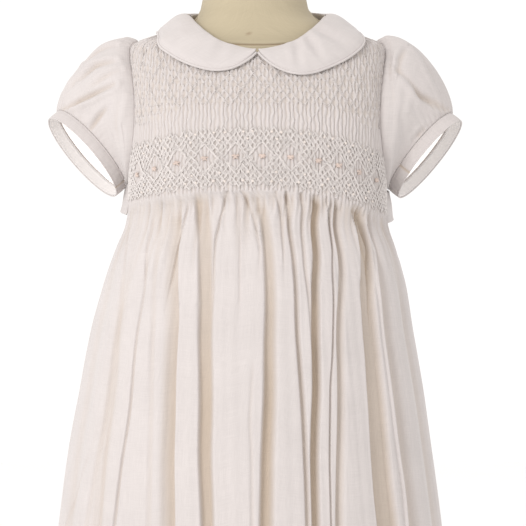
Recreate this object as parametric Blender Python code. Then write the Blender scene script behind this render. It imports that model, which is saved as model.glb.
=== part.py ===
"""Toddler's dress with a smocked front, standing on a limbless dress form.

All sizes are in millimetres until a mesh is written, which is in metres.
+Z is up, the front of the dress faces -Y, and the origin is the middle of the
underside of the stand.  Each cut piece of cloth is a wall with an inside, an
outside and edges: rows of points run round the body, and neighbouring rows
are laced together with triangles.
"""
from collections import namedtuple
import math

import bpy
import numpy as np

MM = 0.001

# ---- driving sizes, mm ----------------------------------------------------
HEM_Z = 215.0
CLOTH = 1.5                # thickness of every cloth wall
SEAM = 0.3                 # space left between two pieces at a seam
PLEATS = 60                # smocked pleats across the front
RIB_HEIGHT = 1.5           # how far a smocked pleat stands up
LATTICE_HEIGHT = 0.5       # extra height of the diamond pattern of the band
PIPING_RADIUS = 1.2
CUFF_WIDTH = 11.0
SASH_WIDTH = 26.0
BUTTON_RADIUS = 5.0
BUTTON_THICKNESS = 2.4
PLACKET_LAP = 9.0          # how far each back half passes the centre line
BASE_RADIUS = 140.0
BASE_THICKNESS = 18.0
POLE_RADIUS = 12.0
BUST_SIDES = 32

# ---- sections -------------------------------------------------------------
# Each is a flattened oval; squareness 2 is an ellipse, more is squarer.
Section = namedtuple("Section", "z centre_x half_width front back squareness")

FORM = [
    Section(345, 0, 88, 66, 70, 2.2),
    Section(360, 0, 94, 71, 75, 2.3),
    Section(400, 0, 98, 74, 80, 2.4),
    Section(450, 0, 97, 76, 76, 2.4),
    Section(500, 0, 94, 77, 70, 2.4),
    Section(550, 0, 92, 76, 66, 2.4),
    Section(600, 0, 94, 75, 68, 2.4),
    Section(640, 0, 96, 74, 71, 2.4),
    Section(670, 0, 97, 70, 72, 2.4),
    Section(700, 0, 98, 61, 68, 2.4),
    Section(720, 0, 97.5, 50, 58, 2.3),
    Section(728, 0, 97, 45, 52, 2.3),
    Section(732, 0, 94.7, 43, 50, 2.25),
    Section(735, 0, 90.5, 42, 48, 2.2),
    Section(740, 0, 78.9, 41, 46, 2.15),
    Section(749, 0, 61.8, 39.5, 43.5, 2.05),
    Section(757, -1.5, 49, 39, 42, 2.0),
    Section(765, -2.5, 45, 39.5, 41, 2.0),
    Section(780, -2.5, 43, 39.5, 40, 2.0),
    Section(812, -2.5, 43, 40, 41, 2.0),
]

BODY = [                   # inside of the dress
    Section(215, -7.5, 173.5, 137, 140, 2.1),
    Section(270, -7.0, 168.0, 133, 136, 2.1),
    Section(327, -6.5, 161.5, 128, 132, 2.1),
    Section(388, -6.5, 153.2, 122, 127, 2.15),
    Section(440, -5.3, 144.5, 116, 122, 2.2),
    Section(488, -4.8, 135.6, 110, 116, 2.25),
    Section(530, -2.5, 126.2, 103, 108, 2.3),
    Section(560, -1.5, 116.8, 96, 98, 2.35),
    Section(585, -1.0, 107.8, 88, 86, 2.4),
    Section(600, 0, 106.5, 84.5, 80, 2.45),
    Section(640, 0, 106, 82, 77, 2.5),
    Section(670, 0, 106, 77, 76, 2.5),
    Section(700, 0, 106, 67, 71, 2.45),
    Section(720, 0, 106, 56, 62, 2.4),
    Section(728, 0, 105.3, 50.5, 57, 2.35),
    Section(732, 0, 103, 48, 54, 2.3),
    Section(735, 0, 95.5, 46.5, 51.5, 2.25),
    Section(740, 0, 80, 44.5, 48.5, 2.15),
    Section(749, 0, 63, 42, 45.5, 2.05),
    Section(757, 0, 55.5, 41, 44, 2.0),
    Section(770, 0, 52, 41, 43, 2.0),
]

# Neckline: its height at each angle round the neck, 0 at the front.
NeckPoint = namedtuple("NeckPoint", "angle z")
NECKLINE = [NeckPoint(0, 724.5), NeckPoint(6, 728), NeckPoint(14, 733),
            NeckPoint(29, 740.2), NeckPoint(52, 749.2), NeckPoint(68, 754),
            NeckPoint(90, 757), NeckPoint(120, 760), NeckPoint(150, 763), NeckPoint(180, 764)]

# Level lines of the bodice, from the shoulder down: their height in the
# middle and at each side seam, and the rows of points down to each.
Level = namedtuple("Level", "name middle left right rows")
FRONT_LEVELS = [Level("shoulder tip", 711, 732, 732, 3),
                Level("foot of the diamonds", 681, 678, 676, 4),
                Level("top of the band", 666, 650, 642, 2),
                Level("underarm and row of flowers", 640, 620, 614, 4),
                Level("foot of the smocking", 613, 600, 588, 4)]
BACK_LEVELS = [Level("shoulder tip", 728, 732, 732, 4),
               Level("shoulder blades", 681, 678, 676, 3),
               Level("underarm", 640, 620, 614, 3),
               Level("waist", 603, 600, 588, 2)]
SKIRT_HEIGHTS = [591, 572, 542, 496, 430, 355, 282, HEM_Z]

# Folds of the skirt: valleys, with their angle round the body at four
# heights, their depth at the gathers and at the hem, and half width.
Fold = namedtuple("Fold", "at_580 at_500 at_400 at_hem top_depth hem_depth half_width")
FOLD_HEIGHTS = [HEM_Z, 400, 500, 580]
FRONT_FOLDS = [
    Fold(-74, -69, -68, -68, 2, 5, 9),
    Fold(-58, -52, -50, -52, 3, 5, 8),
    Fold(-48, -41, -40, -43, 3, 6, 7),
    Fold(-34, -30, -26, -23, 5, 8, 9),
    Fold(-26, -22.5, -19, -17, 3, 1, 6),
    Fold(-17, -14, -13, -12, 5, 9, 8),
    Fold(-9, -5, -2, -2.5, 3, 4, 6),
    Fold(1.5, 3, 4, 3, 7, 11, 7),
    Fold(9, 11.5, 13, 12.5, 5, 7, 5),
    Fold(14.5, 15.3, 15.6, 14.5, 4, 0, 4),
    Fold(20, 19, 18, 16.5, 7, 8, 5),
    Fold(26, 25, 22.5, 19.5, 5, 4, 4),
    Fold(30, 28, 26, 24, 5, 7, 5),
    Fold(41, 39, 40, 44, 6, 8, 8),
    Fold(46.5, 45.5, 46, 49, 4, 1, 5),
    Fold(56, 54, 55, 59, 6, 9, 8),
    Fold(73, 72, 74, 76, 4, 7, 9),
]
BACK_FOLDS = [
    Fold(100, 101, 103, 104, 4, 7, 9),
    Fold(113, 112, 114, 117, 5, 9, 8),
    Fold(124, 126, 128, 128, 4, 5, 7),
    Fold(134, 135, 138, 140, 6, 10, 9),
    Fold(146, 147, 147, 149, 5, 6, 7),
    Fold(156, 155, 158, 160, 5, 8, 7),
    Fold(167, 168, 168, 171, 6, 10, 8),
    Fold(178, 180, 182, 183, 4, 6, 7),
    Fold(189, 190, 193, 195, 6, 9, 8),
    Fold(201, 202, 203, 204, 5, 5, 7),
    Fold(211, 213, 215, 218, 6, 10, 9),
    Fold(224, 224, 226, 229, 4, 6, 7),
    Fold(235, 237, 240, 242, 5, 9, 9),
    Fold(248, 250, 252, 254, 4, 6, 8),
    Fold(259, 260, 260, 261, 3, 4, 7),
]

# Armholes: how far the edge is cut back from the side seam, in degrees.
ARMHOLE_CUT_FRONT = 21.0
ARMHOLE_CUT_BACK = 17.0

# Sleeve: where the cuff ends, the half sizes of its opening, the downward
# slope of its long way, and how its mouth turns to the front.
Sleeve = namedtuple("Sleeve", "side x y z half_long half_short slope turn puff")
SLEEVES = [Sleeve(-1, -148.8, 2, 638, 42.8, 25, 49.2, 26, 26),
           Sleeve(1, 146.8, 2, 636.3, 41.5, 24, 50.9, 22, 30)]
SLEEVE_GATHERS = 13
PUFF_SPREAD = 20.0         # how far the puff stands out over the cuff's top
PUFF_BACK = 14.0           # and how far back from the cuff it does so
LONG_SIDE = 50.0           # gathers are full height where the sleeve is this long


# ---- curves and surfaces --------------------------------------------------
def smooth_curve(at, knots, values):
    """Value of a smooth curve through the knots that never overshoots them."""
    at = np.clip(np.asarray(at, float), knots[0], knots[-1])
    knots = np.asarray(knots, float)
    values = np.asarray(values, float)
    step = np.diff(knots)
    slope = np.diff(values) / step
    tangent = np.zeros(len(knots))
    tangent[0], tangent[-1] = slope[0], slope[-1]
    for i in range(1, len(knots) - 1):
        if slope[i - 1] * slope[i] > 0:
            tangent[i] = 2 * slope[i - 1] * slope[i] / (slope[i - 1] + slope[i])
    i = np.clip(np.searchsorted(knots, at, side="right") - 1, 0, len(step) - 1)
    t = (at - knots[i]) / step[i]
    return (values[i] * (1 + 2 * t) * (1 - t) ** 2 + values[i + 1] * t * t * (3 - 2 * t)
            + tangent[i] * step[i] * t * (1 - t) ** 2 - tangent[i + 1] * step[i] * t * t * (1 - t))


def on_sections(sections, angle, z):
    """Point of a body given by its sections, at an angle (degrees) and height."""
    heights = [s.z for s in sections]
    column = {name: smooth_curve(z, heights, [getattr(s, name) for s in sections])
              for name in ("centre_x", "half_width", "front", "back", "squareness")}
    turn = np.radians(np.asarray(angle, float))
    sine = np.sin(turn)
    cosine = np.cos(turn)
    power = 2 / column["squareness"]
    depth = np.where(cosine > 0, column["front"], column["back"])
    x = column["centre_x"] + column["half_width"] * np.sign(sine) * np.abs(sine) ** power
    y = -depth * np.sign(cosine) * np.abs(cosine) ** power
    return np.stack(np.broadcast_arrays(x, y, np.asarray(z, float)), axis=-1)


def neckline_z(angle):
    """Height of the neckline at an angle in degrees."""
    folded = np.abs((np.asarray(angle, float) + 180) % 360 - 180)
    return smooth_curve(folded, [p.angle for p in NECKLINE], [p.z for p in NECKLINE])


def level_z(level, angle):
    """Height of a level line of the bodice: it droops towards the side seams."""
    sine = np.sin(np.radians(angle))
    side = np.where(sine < 0, level.left, level.right)
    return level.middle + (side - level.middle) * sine ** 2


def outward(sections, angle, z):
    """Unit direction out of the body, level with the seams at the two sides."""
    turn, rise = 0.6, 1.0
    across = on_sections(sections, angle + turn, z) - on_sections(sections, angle - turn, z)
    up = on_sections(sections, angle, z + rise) - on_sections(sections, angle, z - rise)
    normal = np.cross(across, up)
    beside = np.abs(np.cos(np.radians(angle))) < 0.02
    normal[..., 1] = np.where(beside, 0.0, normal[..., 1])
    return normal / np.linalg.norm(normal, axis=-1, keepdims=True)


def body_point(angle, z, out=0.0):
    """Point of the dress's inside, moved out by a distance."""
    angle = np.asarray(angle, float)
    z = np.broadcast_to(np.asarray(z, float), angle.shape)
    out = np.broadcast_to(np.asarray(out, float), angle.shape)
    return on_sections(BODY, angle, z) + outward(BODY, angle, z) * out[..., None]


# ---- meshes ---------------------------------------------------------------
class Wall:
    """Collects points and triangles, then makes one closed object."""

    def __init__(self):
        self.points = []
        self.faces = []

    def row(self, points, places=None):
        """Add a row of points; returns (places along the row, point numbers)."""
        first = len(self.points)
        self.points += [tuple(p) for p in points]
        count = len(points)
        if places is None:
            places = np.linspace(0, 1, count)
        return list(places), list(range(first, first + count))

    def lace(self, row_a, row_b):
        """Fill the strip between two rows with triangles."""
        (places_a, a), (places_b, b) = row_a, row_b
        i = j = 0
        while i < len(a) - 1 or j < len(b) - 1:
            take_a = j == len(b) - 1 or (i < len(a) - 1 and places_a[i + 1] <= places_b[j + 1])
            if take_a:
                self.faces.append((a[i], a[i + 1], b[j]))
                i += 1
            else:
                self.faces.append((a[i], b[j + 1], b[j]))
                j += 1

    def ring(self, points):
        """Add a closed row: its last place is its first point again."""
        places, numbers = self.row(points, np.arange(len(points)) / len(points))
        return places + [1.0], numbers + [numbers[0]]

    def lace_all(self, rows):
        for upper, lower in zip(rows, rows[1:]):
            self.lace(upper, lower)

    def sheet(self, outside, inside):
        """Close two open surfaces along their four edges."""
        self.lace_all(outside)
        self.lace_all(inside[::-1])
        self.lace(inside[0], outside[0])
        self.lace(outside[-1], inside[-1])
        for end in (0, -1):
            edges = [(list(np.linspace(0, 1, len(rows))), [row[1][end] for row in rows])
                     for rows in (outside, inside)]
            self.lace(*(edges if end == 0 else edges[::-1]))

    def tube(self, outside, inside):
        """Close two nested tubes along their two rims."""
        self.lace_all(outside)
        self.lace_all(inside[::-1])
        self.lace(inside[0], outside[0])
        self.lace(outside[-1], inside[-1])

    def cap(self, ring, centre, flip):
        """Close a ring with a fan round a centre point."""
        middle = len(self.points)
        self.points.append(tuple(centre))
        for first, second in zip(ring[1], ring[1][1:]):
            self.faces.append((second, first, middle) if flip else (first, second, middle))

    def solid(self, rings):
        """Lace a stack of rings and close both ends."""
        self.lace_all(rings)
        for ring, flip in ((rings[0], False), (rings[-1], True)):
            centre = np.mean([self.points[i] for i in ring[1][:-1]], axis=0)
            self.cap(ring, centre, not flip)

    def make(self, name, material, sharp_angle=50.0):
        """Create the object, with its faces turned outwards."""
        points = np.array(self.points) * MM
        corners = points[np.array(self.faces)]
        volume = np.einsum("ij,ij->", corners[:, 0], np.cross(corners[:, 1], corners[:, 2])) / 6
        faces = self.faces if volume > 0 else [face[::-1] for face in self.faces]
        mesh = bpy.data.meshes.new(name)
        mesh.from_pydata([tuple(p) for p in points], [], faces)
        mesh.validate()
        mesh.update()
        mesh.shade_smooth()
        mesh.set_sharp_from_angle(angle=math.radians(sharp_angle))
        mesh.materials.append(material)
        obj = bpy.data.objects.new(name, mesh)
        bpy.context.collection.objects.link(obj)
        return obj


def material(name, colour, roughness, metallic=0.0):
    """A plain Principled material."""
    made = bpy.data.materials.new(name)
    made.use_nodes = True
    shader = made.node_tree.nodes["Principled BSDF"]
    shader.inputs["Base Color"].default_value = (*colour, 1)
    shader.inputs["Roughness"].default_value = roughness
    shader.inputs["Metallic"].default_value = metallic
    return made


# ---- bodice and skirt -----------------------------------------------------
SIDE_ZONE = 40.0           # degrees beside the side seam where columns close up
ARMHOLE_ROUNDNESS = 0.7
DIAMOND_PLEATS = 7         # pleats across one large diamond of the band
DIAMOND_ROWS = 2           # rows from a diamond's middle to its tip
FLOWER_ROW = 13
PLAIN_ROWS = (7, 9)        # rows with straight pleats between the two patterns


def armhole_cut(z, side, cut):
    """Degrees that the armhole is cut back from the side seam at a height."""
    low = level_z(FRONT_LEVELS[3], 90.0 * side)
    share = np.clip((FRONT_LEVELS[0].right - z) / (FRONT_LEVELS[0].right - low), 0, 1)
    return cut * np.sin(math.pi * share) ** ARMHOLE_ROUNDNESS


def bodice_row_heights(levels, angle):
    """Heights of every row of the bodice at an array of angles."""
    upper = neckline_z(angle)
    rows = [upper]
    for level in levels:
        lower = level_z(level, angle)
        rows += [upper + (lower - upper) * (i + 1) / level.rows for i in range(level.rows)]
        upper = lower
    return rows


def beside_armhole(angle, z_edge, front):
    """Angles moved away from the armhole, which takes the room beside the seam."""
    angle = np.asarray(angle, float)
    side = np.where(np.sin(np.radians(angle)) < 0, -1.0, 1.0)
    from_front = np.abs((angle + 180) % 360 - 180)
    beside = 90 - from_front if front else from_front - 90
    cut_size = ARMHOLE_CUT_FRONT if front else ARMHOLE_CUT_BACK
    cut = np.where(side < 0, armhole_cut(z_edge[0], -1, cut_size),
                   armhole_cut(z_edge[1], 1, cut_size))
    beside = np.where(beside < SIDE_ZONE, cut + beside * (SIDE_ZONE - cut) / SIDE_ZONE, beside)
    moved = 90 - beside if front else 90 + beside
    return np.where(side < 0, -moved, moved)


def rib_height(row, rows, column, columns):
    """Height of the smocked pleats at one point of the grid."""
    from_edge = min(column, columns - 1 - column)
    ridge = 1.0 if column % 2 else 0.0
    fade = min(1.0, row / 3) * min(1.0, max(0, from_edge - 2) / 4)
    height = ridge * RIB_HEIGHT * fade
    if row > PLAIN_ROWS[1] and row < rows - 1:
        across = abs((column / 2 - PLEATS / 2 + DIAMOND_PLEATS / 2) % DIAMOND_PLEATS
                     - DIAMOND_PLEATS / 2) / (DIAMOND_PLEATS / 2)
        along = abs(row - FLOWER_ROW) / DIAMOND_ROWS
        if abs(across + along - 1) < 0.3 or across + along > 1.6:
            height += LATTICE_HEIGHT * fade
    return height


def rib_sway(row, column):
    """Sideways pull of a pleat towards its neighbour, in shares of a column."""
    if column % 2 == 0 or PLAIN_ROWS[0] <= row <= PLAIN_ROWS[1] or row < 3:
        return 0.0
    return 0.45 if (column // 2 + row) % 2 else -0.45


def fold_angle(fold, z):
    """Angle of a fold's valley at a height."""
    return smooth_curve(z, FOLD_HEIGHTS,
                        [fold.at_hem, fold.at_400, fold.at_500, fold.at_580])


def fold_depth(angle, z, waist):
    """How far the skirt lies in at its folds, fading out at the gathers."""
    down = np.clip((waist - z) / (waist - HEM_Z), 0, 1)
    fade = 0.25 + 0.75 * np.clip(down / 0.06, 0, 1)
    radius = smooth_curve(z, [s.z for s in BODY], [(s.half_width + s.front) / 2 for s in BODY])
    total = np.zeros(np.broadcast(angle, z).shape)
    for fold in FRONT_FOLDS + BACK_FOLDS:
        apart = (angle - fold_angle(fold, z) + 180) % 360 - 180
        width = fold.half_width * (0.7 + 0.5 * down) / 1.3
        depth = fold.top_depth + (fold.hem_depth - fold.top_depth) * down
        total += depth * fade * np.exp(-(np.radians(apart) * radius / width) ** 2)
    return total


def skirt_columns(folds, start, end, z):
    """Angles of the skirt's columns at a height: three to each fold."""
    stops = [start] + [float(fold_angle(fold, z)) for fold in folds] + [end]
    columns = []
    for left, right in zip(stops, stops[1:]):
        columns += [left, left + (right - left) * 0.35, left + (right - left) * 0.65]
    return np.array(columns + [end])


def skirt_rows(wall, folds, start, end, waist_at, seam_y):
    """Outside and inside rows of a skirt panel, from its waist to the hem."""
    outside, inside = [], []
    top = SKIRT_HEIGHTS[0] + 13
    for height in [top] + SKIRT_HEIGHTS:
        share = (height - HEM_Z) / (top - HEM_Z)
        angle = skirt_columns(folds, start, end, height)
        waist = waist_at(angle)
        z = HEM_Z + (waist - HEM_Z) * share
        depth = fold_depth(angle, z, waist)
        if height == top:
            spots = (angle - start) / (end - start)
        for rows, out in ((outside, CLOTH), (inside, 0.0)):
            points = body_point(angle, z, out - depth)
            points[[0, -1], 1] += seam_y
            rows.append(wall.row(points, spots))
    return outside, inside


def front_waist(angle):
    return level_z(FRONT_LEVELS[-1], angle)


def back_waist(angle):
    return level_z(BACK_LEVELS[-1], angle)


def build_front(cloth):
    """Front: smocked from the neck to a high waist, then a gathered skirt."""
    wall = Wall()
    columns = 2 * PLEATS + 1
    spread = np.linspace(-90, 90, columns)
    pitch = spread[1] - spread[0]
    heights = bodice_row_heights(FRONT_LEVELS, spread)
    outside, inside = [], []
    for row, z in enumerate(heights):
        sway = np.array([rib_sway(row, c) for c in range(columns)]) * pitch
        sway[np.abs(spread) > 78] = 0
        rib = np.array([rib_height(row, len(heights), c, columns) for c in range(columns)])
        edge = (z[0], z[-1])
        points = body_point(beside_armhole(spread + sway, edge, True), z, CLOTH + rib)
        points[[0, -1], 1] -= SEAM / 2
        outside.append(wall.row(points, (spread + 90) / 180))
        if row % 2 or row < 3:
            plain = slice(0, None, 4)
            points = body_point(beside_armhole(spread[plain], edge, True), z[plain])
            points[[0, -1], 1] -= SEAM / 2
            inside.append(wall.row(points, (spread[plain] + 90) / 180))
    lower_out, lower_in = skirt_rows(wall, FRONT_FOLDS, -90, 90, front_waist, -SEAM / 2)
    wall.sheet(outside + lower_out[1:], inside + lower_in[1:])
    return wall.make("dress_front", cloth)


def angle_at_x(x, z):
    """Angle, past the middle of the back, of a point this far to the side."""
    heights = [s.z for s in BODY]
    half_width = smooth_curve(z, heights, [s.half_width for s in BODY])
    squareness = smooth_curve(z, heights, [s.squareness for s in BODY])
    return np.degrees(np.arcsin((abs(x) / half_width) ** (squareness / 2))) * np.sign(x)


def build_back_half(name, cloth, side, over):
    """Half of the back bodice; the half that buttons over is raised at the lap."""
    wall = Wall()
    lap_columns = [PLACKET_LAP, 0, -PLACKET_LAP - 1, -PLACKET_LAP - 7]
    lifts = np.array([1, 1, 1, 0] if over else [0, 0, 0, 0]) * (CLOTH + SEAM)
    plain_columns = 10
    steps = np.linspace(0, 1, plain_columns + 1)[1:]
    lifts = np.concatenate([lifts, np.zeros(plain_columns)])
    outside, inside = [], []
    for row in range(1 + sum(level.rows for level in BACK_LEVELS)):
        middle_z = bodice_row_heights(BACK_LEVELS, np.array(180.0))[row]
        lap = [180 + angle_at_x(x, middle_z) for x in lap_columns]
        free = lap[-1] + (90 - lap[-1]) * steps
        angle = side * np.concatenate([lap, free])
        z = bodice_row_heights(BACK_LEVELS, angle)[row]
        edge = (z[-1], z[-1])
        inward = np.abs(angle) < 180
        moved = np.where(inward, beside_armhole(np.clip(angle, -180, 180), edge, False), angle)
        for rows, out in ((outside, CLOTH), (inside, 0.0)):
            points = body_point(moved, z, out + lifts)
            points[-1, 1] += SEAM / 2
            rows.append(wall.row(points))
    wall.sheet(outside, inside)
    return wall.make(name, cloth)


def build_back_skirt(cloth):
    wall = Wall()
    outside, inside = skirt_rows(wall, BACK_FOLDS, 90, 270,
                                 lambda angle: back_waist(angle) - SEAM, SEAM / 2)
    wall.sheet(outside, inside)
    return wall.make("back_skirt", cloth)


# ---- sleeves --------------------------------------------------------------
def armhole_loop(sleeve, around, grow):
    """Points round an armhole, on the outside of the bodice."""
    high = FRONT_LEVELS[0].right
    low = float(level_z(FRONT_LEVELS[3], 90.0 * sleeve.side))
    middle = (high + low) / 2
    cosine, sine = np.cos(around), np.sin(around)
    share = (1 - cosine) / 2
    cut = np.where(sine > 0, ARMHOLE_CUT_FRONT, -ARMHOLE_CUT_BACK)
    cut = cut * np.sin(math.pi * share) ** ARMHOLE_ROUNDNESS
    angle = 90 - cut - np.degrees(grow / 95) * sine
    z = middle + (high - middle + grow) * cosine
    return body_point(sleeve.side * angle, z, CLOTH + 2 * SEAM)


def cuff_frame(sleeve):
    """Centre, long and short directions, and outward axis of a cuff's mouth."""
    slope, turn = math.radians(sleeve.slope), math.radians(sleeve.turn)
    across = np.array([-sleeve.side * math.sin(slope), 0, math.cos(slope)])
    long_way = np.array([-sleeve.side * math.cos(slope), 0, -math.sin(slope)])
    front = np.array([0, -1.0, 0])
    short_way = across * math.sin(turn) + front * math.cos(turn)
    axis = -across * math.cos(turn) + front * math.sin(turn)
    return np.array([sleeve.x, sleeve.y, sleeve.z]), long_way, short_way, axis


def cuff_ring(sleeve, around, back, shrink):
    """Ring of the cuff, some way back from its mouth."""
    centre, long_way, short_way, axis = cuff_frame(sleeve)
    return (centre - axis * back
            - np.outer(np.cos(around) * (sleeve.half_long - shrink), long_way)
            + np.outer(np.sin(around) * (sleeve.half_short - shrink), short_way))


def tube_normals(grid):
    """Outward directions of a tube's grid of points."""
    around = np.roll(grid, -1, axis=1) - np.roll(grid, 1, axis=1)
    along = np.gradient(grid, axis=0)
    normal = np.cross(around, along)
    normal /= np.linalg.norm(normal, axis=-1, keepdims=True)
    middle = grid.mean(axis=1, keepdims=True)
    if np.sum(normal * (grid - middle)) < 0:
        normal = -normal
    return normal


def sleeve_surface(sleeve, around, shares):
    """Puffed tube from the armhole to the cuff, one curve for each direction."""
    start = armhole_loop(sleeve, around, CLOTH)
    end = cuff_ring(sleeve, around, CUFF_WIDTH + SEAM, 0)
    _, long_way, short_way, axis = cuff_frame(sleeve)
    top = ((1 + np.cos(around)) / 2)[:, None]
    out = np.stack([np.full(len(around), sleeve.side * 1.0), -0.5 * np.sin(around),
                    0.35 + 0.65 * np.cos(around)], axis=-1)
    out /= np.linalg.norm(out, axis=-1, keepdims=True)
    puffed = top ** 0.6
    straight = (end - start) / 3 * (1 - puffed)
    leave = start + out * sleeve.puff * puffed + straight
    ring_out = (-np.outer(np.cos(around), long_way) + np.outer(np.sin(around), short_way))
    arrive = end + (ring_out * PUFF_SPREAD - axis * PUFF_BACK) * top - straight
    share = np.asarray(shares)[:, None, None]
    return ((1 - share) ** 3 * start + 3 * share * (1 - share) ** 2 * leave
            + 3 * share ** 2 * (1 - share) * arrive + share ** 3 * end)


def build_sleeve(name, cloth, sleeve):
    wall = Wall()
    count = 2 * SLEEVE_GATHERS
    around = np.arange(count) * 2 * math.pi / count
    shares = np.array([0, 0.08, 0.25, 0.48, 0.7, 0.9, 1.0])
    grid = sleeve_surface(sleeve, around, shares)
    normal = tube_normals(grid)
    _, long_way, short_way, _ = cuff_frame(sleeve)
    ring_out = -np.outer(np.cos(around), long_way) + np.outer(np.sin(around), short_way)
    near_cuff = (shares ** 3)[:, None, None]
    normal = normal * (1 - near_cuff) + ring_out * near_cuff
    length = np.linalg.norm(grid[-1] - grid[0], axis=1) / LONG_SIDE
    gather = np.array([0, 0.9, 0.8, 0.2, 0.4, 1.0, 0])
    ridge = np.where(np.arange(count) % 2, 1.0, -0.3) * np.minimum(1, length)
    outer = grid + normal * (gather[:, None] * ridge)[..., None]
    inner = grid - normal * CLOTH
    inner[0] = armhole_loop(sleeve, around, 0)
    inner[-1] = cuff_ring(sleeve, around, CUFF_WIDTH + SEAM, CLOTH)
    wall.tube([wall.ring(row) for row in outer], [wall.ring(row) for row in inner])
    return wall.make(name, cloth)


def build_cuff(name, cloth, sleeve):
    wall = Wall()
    count = 2 * SLEEVE_GATHERS
    around = np.arange(count) * 2 * math.pi / count
    outside = [wall.ring(cuff_ring(sleeve, around, back, grow))
               for back, grow in ((CUFF_WIDTH, 0.3), (0, 0))]
    inside = [wall.ring(cuff_ring(sleeve, around, back, CLOTH + 0.8))
              for back in (CUFF_WIDTH, 0)]
    wall.tube(outside, inside)
    return wall.make(name, cloth)


# ---- collar ---------------------------------------------------------------
COLLAR_ANGLES = [1.2, 3, 5.5, 9, 13, 18, 25, 34, 45, 58, 72, 87, 103, 119,
                 134, 147, 157, 164, 169, 173, 176.5]
# Width of the collar's halves by angle from the front; the right half is fuller.
CollarWidth = namedtuple("CollarWidth", "angle left right")
COLLAR_WIDTHS = [
    CollarWidth(0, 33.0, 35.0), CollarWidth(20, 35.8, 40.3), CollarWidth(30, 37.9, 42.4),
    CollarWidth(42, 38.0, 43.0), CollarWidth(52, 34.2, 41.2), CollarWidth(64, 33.0, 37.5),
    CollarWidth(80, 32.2, 34.0), CollarWidth(105, 32.3, 32.5), CollarWidth(150, 35.0, 35.0),
    CollarWidth(180, 36.0, 36.0)]
FRONT_CORNER = 11.0        # degrees over which the collar's corner rounds off
BACK_CORNER = 6.0
COLLAR_LIFT = 2.4          # clearance over the smocking below it
COLLAR_ROLL = 4.0          # how far its middle swells over the shoulders
LAP_RISE_FROM = 147.0      # the collar climbs onto the lapped back from here
LAP_RISE_OVER = 11.0


def down_from_neck(angle, distance):
    """Height reached by going down the body's side from the neckline."""
    drop = np.linspace(0, 70, 141)
    z = neckline_z(angle) - drop
    line = on_sections(BODY, np.full(len(z), float(angle)), z)
    length = np.concatenate([[0], np.cumsum(np.linalg.norm(np.diff(line, axis=0), axis=1))])
    return float(np.interp(distance, length, z))


def collar_width(angle, side):
    """Width of a collar half; its corners round off at both middles."""
    widths = [w.right if side > 0 else w.left for w in COLLAR_WIDTHS]
    width = float(smooth_curve(angle, [w.angle for w in COLLAR_WIDTHS], widths))
    return (width * math.tanh((angle / FRONT_CORNER) ** 0.75)
            * math.tanh((180 - angle) / BACK_CORNER))


def collar_lift(share, angle):
    """How far the collar stands over the bodice, from neck (0) to edge (1)."""
    over_lap = (CLOTH + SEAM) * np.clip((angle - LAP_RISE_FROM) / LAP_RISE_OVER, 0, 1)
    roll = COLLAR_ROLL * np.sin(np.radians(angle)) ** 2 * math.sin(math.pi * share ** 0.65)
    clear = COLLAR_LIFT * math.sin(math.pi / 2 * min(1.0, 2 * share))
    return CLOTH + 1.5 * SEAM + over_lap + clear + roll


def collar_row(side, share, extra):
    """Points along a collar half at a share of its width."""
    angle = np.array(COLLAR_ANGLES)
    z = np.array([down_from_neck(a, share * collar_width(a, side)) for a in angle])
    return body_point(side * angle, z, collar_lift(share, angle) + extra)


def build_collar(name, cloth, side):
    wall = Wall()
    shares = [0, 0.25, 0.6, 1.0]
    outside = [wall.row(collar_row(side, share, CLOTH)) for share in shares]
    inside = [wall.row(collar_row(side, share, 0)) for share in shares]
    wall.sheet(outside, inside)
    return wall.make(name, cloth)


def build_piping(name, cloth, side):
    """Corded edge of a collar half: a thin round tube beside its edge."""
    wall = Wall()
    edge = collar_row(side, 1.0, CLOTH / 2)
    within = collar_row(side, 0.9, CLOTH / 2)
    along = np.gradient(edge, axis=0)
    along /= np.linalg.norm(along, axis=1, keepdims=True)
    away = edge - within
    away -= along * np.sum(away * along, axis=1, keepdims=True)
    away /= np.linalg.norm(away, axis=1, keepdims=True)
    up = np.cross(along, away)
    path = edge + away * (PIPING_RADIUS + SEAM)
    sides = 6
    rings = []
    for centre, outward_way, up_way in zip(path, away, up):
        turn = np.arange(sides) * 2 * math.pi / sides
        circle = (np.outer(np.cos(turn), outward_way) + np.outer(np.sin(turn), up_way))
        rings.append(wall.ring(centre + circle * PIPING_RADIUS))
    wall.solid(rings)
    return wall.make(name, cloth, 80)


# ---- sash, bow and buttons ------------------------------------------------
KNOT_Z = 602.0
KNOT_OUT = 12.6            # middle of the knot, out from the back's inside
KNOT_SIZE = (11.0, 9.0, 13.0)
SASH_START_Z = {-1: 602.5, 1: 595.5}
SASH_OUT = CLOTH + 0.9     # clears the gathers just below the waist
SASH_END = 177.12
# Tails of the bow: middle, half width and distance out at each height.
TailPoint = namedtuple("TailPoint", "x z out half_width")
TAIL_LEFT = [TailPoint(7.5, 584.8, 7, 5.5), TailPoint(13, 570, 4.5, 9.5),
             TailPoint(17, 548, 2.2, 12.5), TailPoint(20, 512, 1.8, 13),
             TailPoint(22, 475, 1.8, 13), TailPoint(25, 436, 1.8, 13)]
TAIL_RIGHT = [TailPoint(-7.5, 584.8, 7, 5.5), TailPoint(-14, 570, 4.5, 9.5),
              TailPoint(-20, 548, 2.2, 12.5), TailPoint(-25, 512, 1.8, 13),
              TailPoint(-29, 480, 1.8, 13), TailPoint(-32, 450, 1.8, 13)]
TAIL_SLANT = 10.0          # how much longer one corner of a tail is
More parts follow.
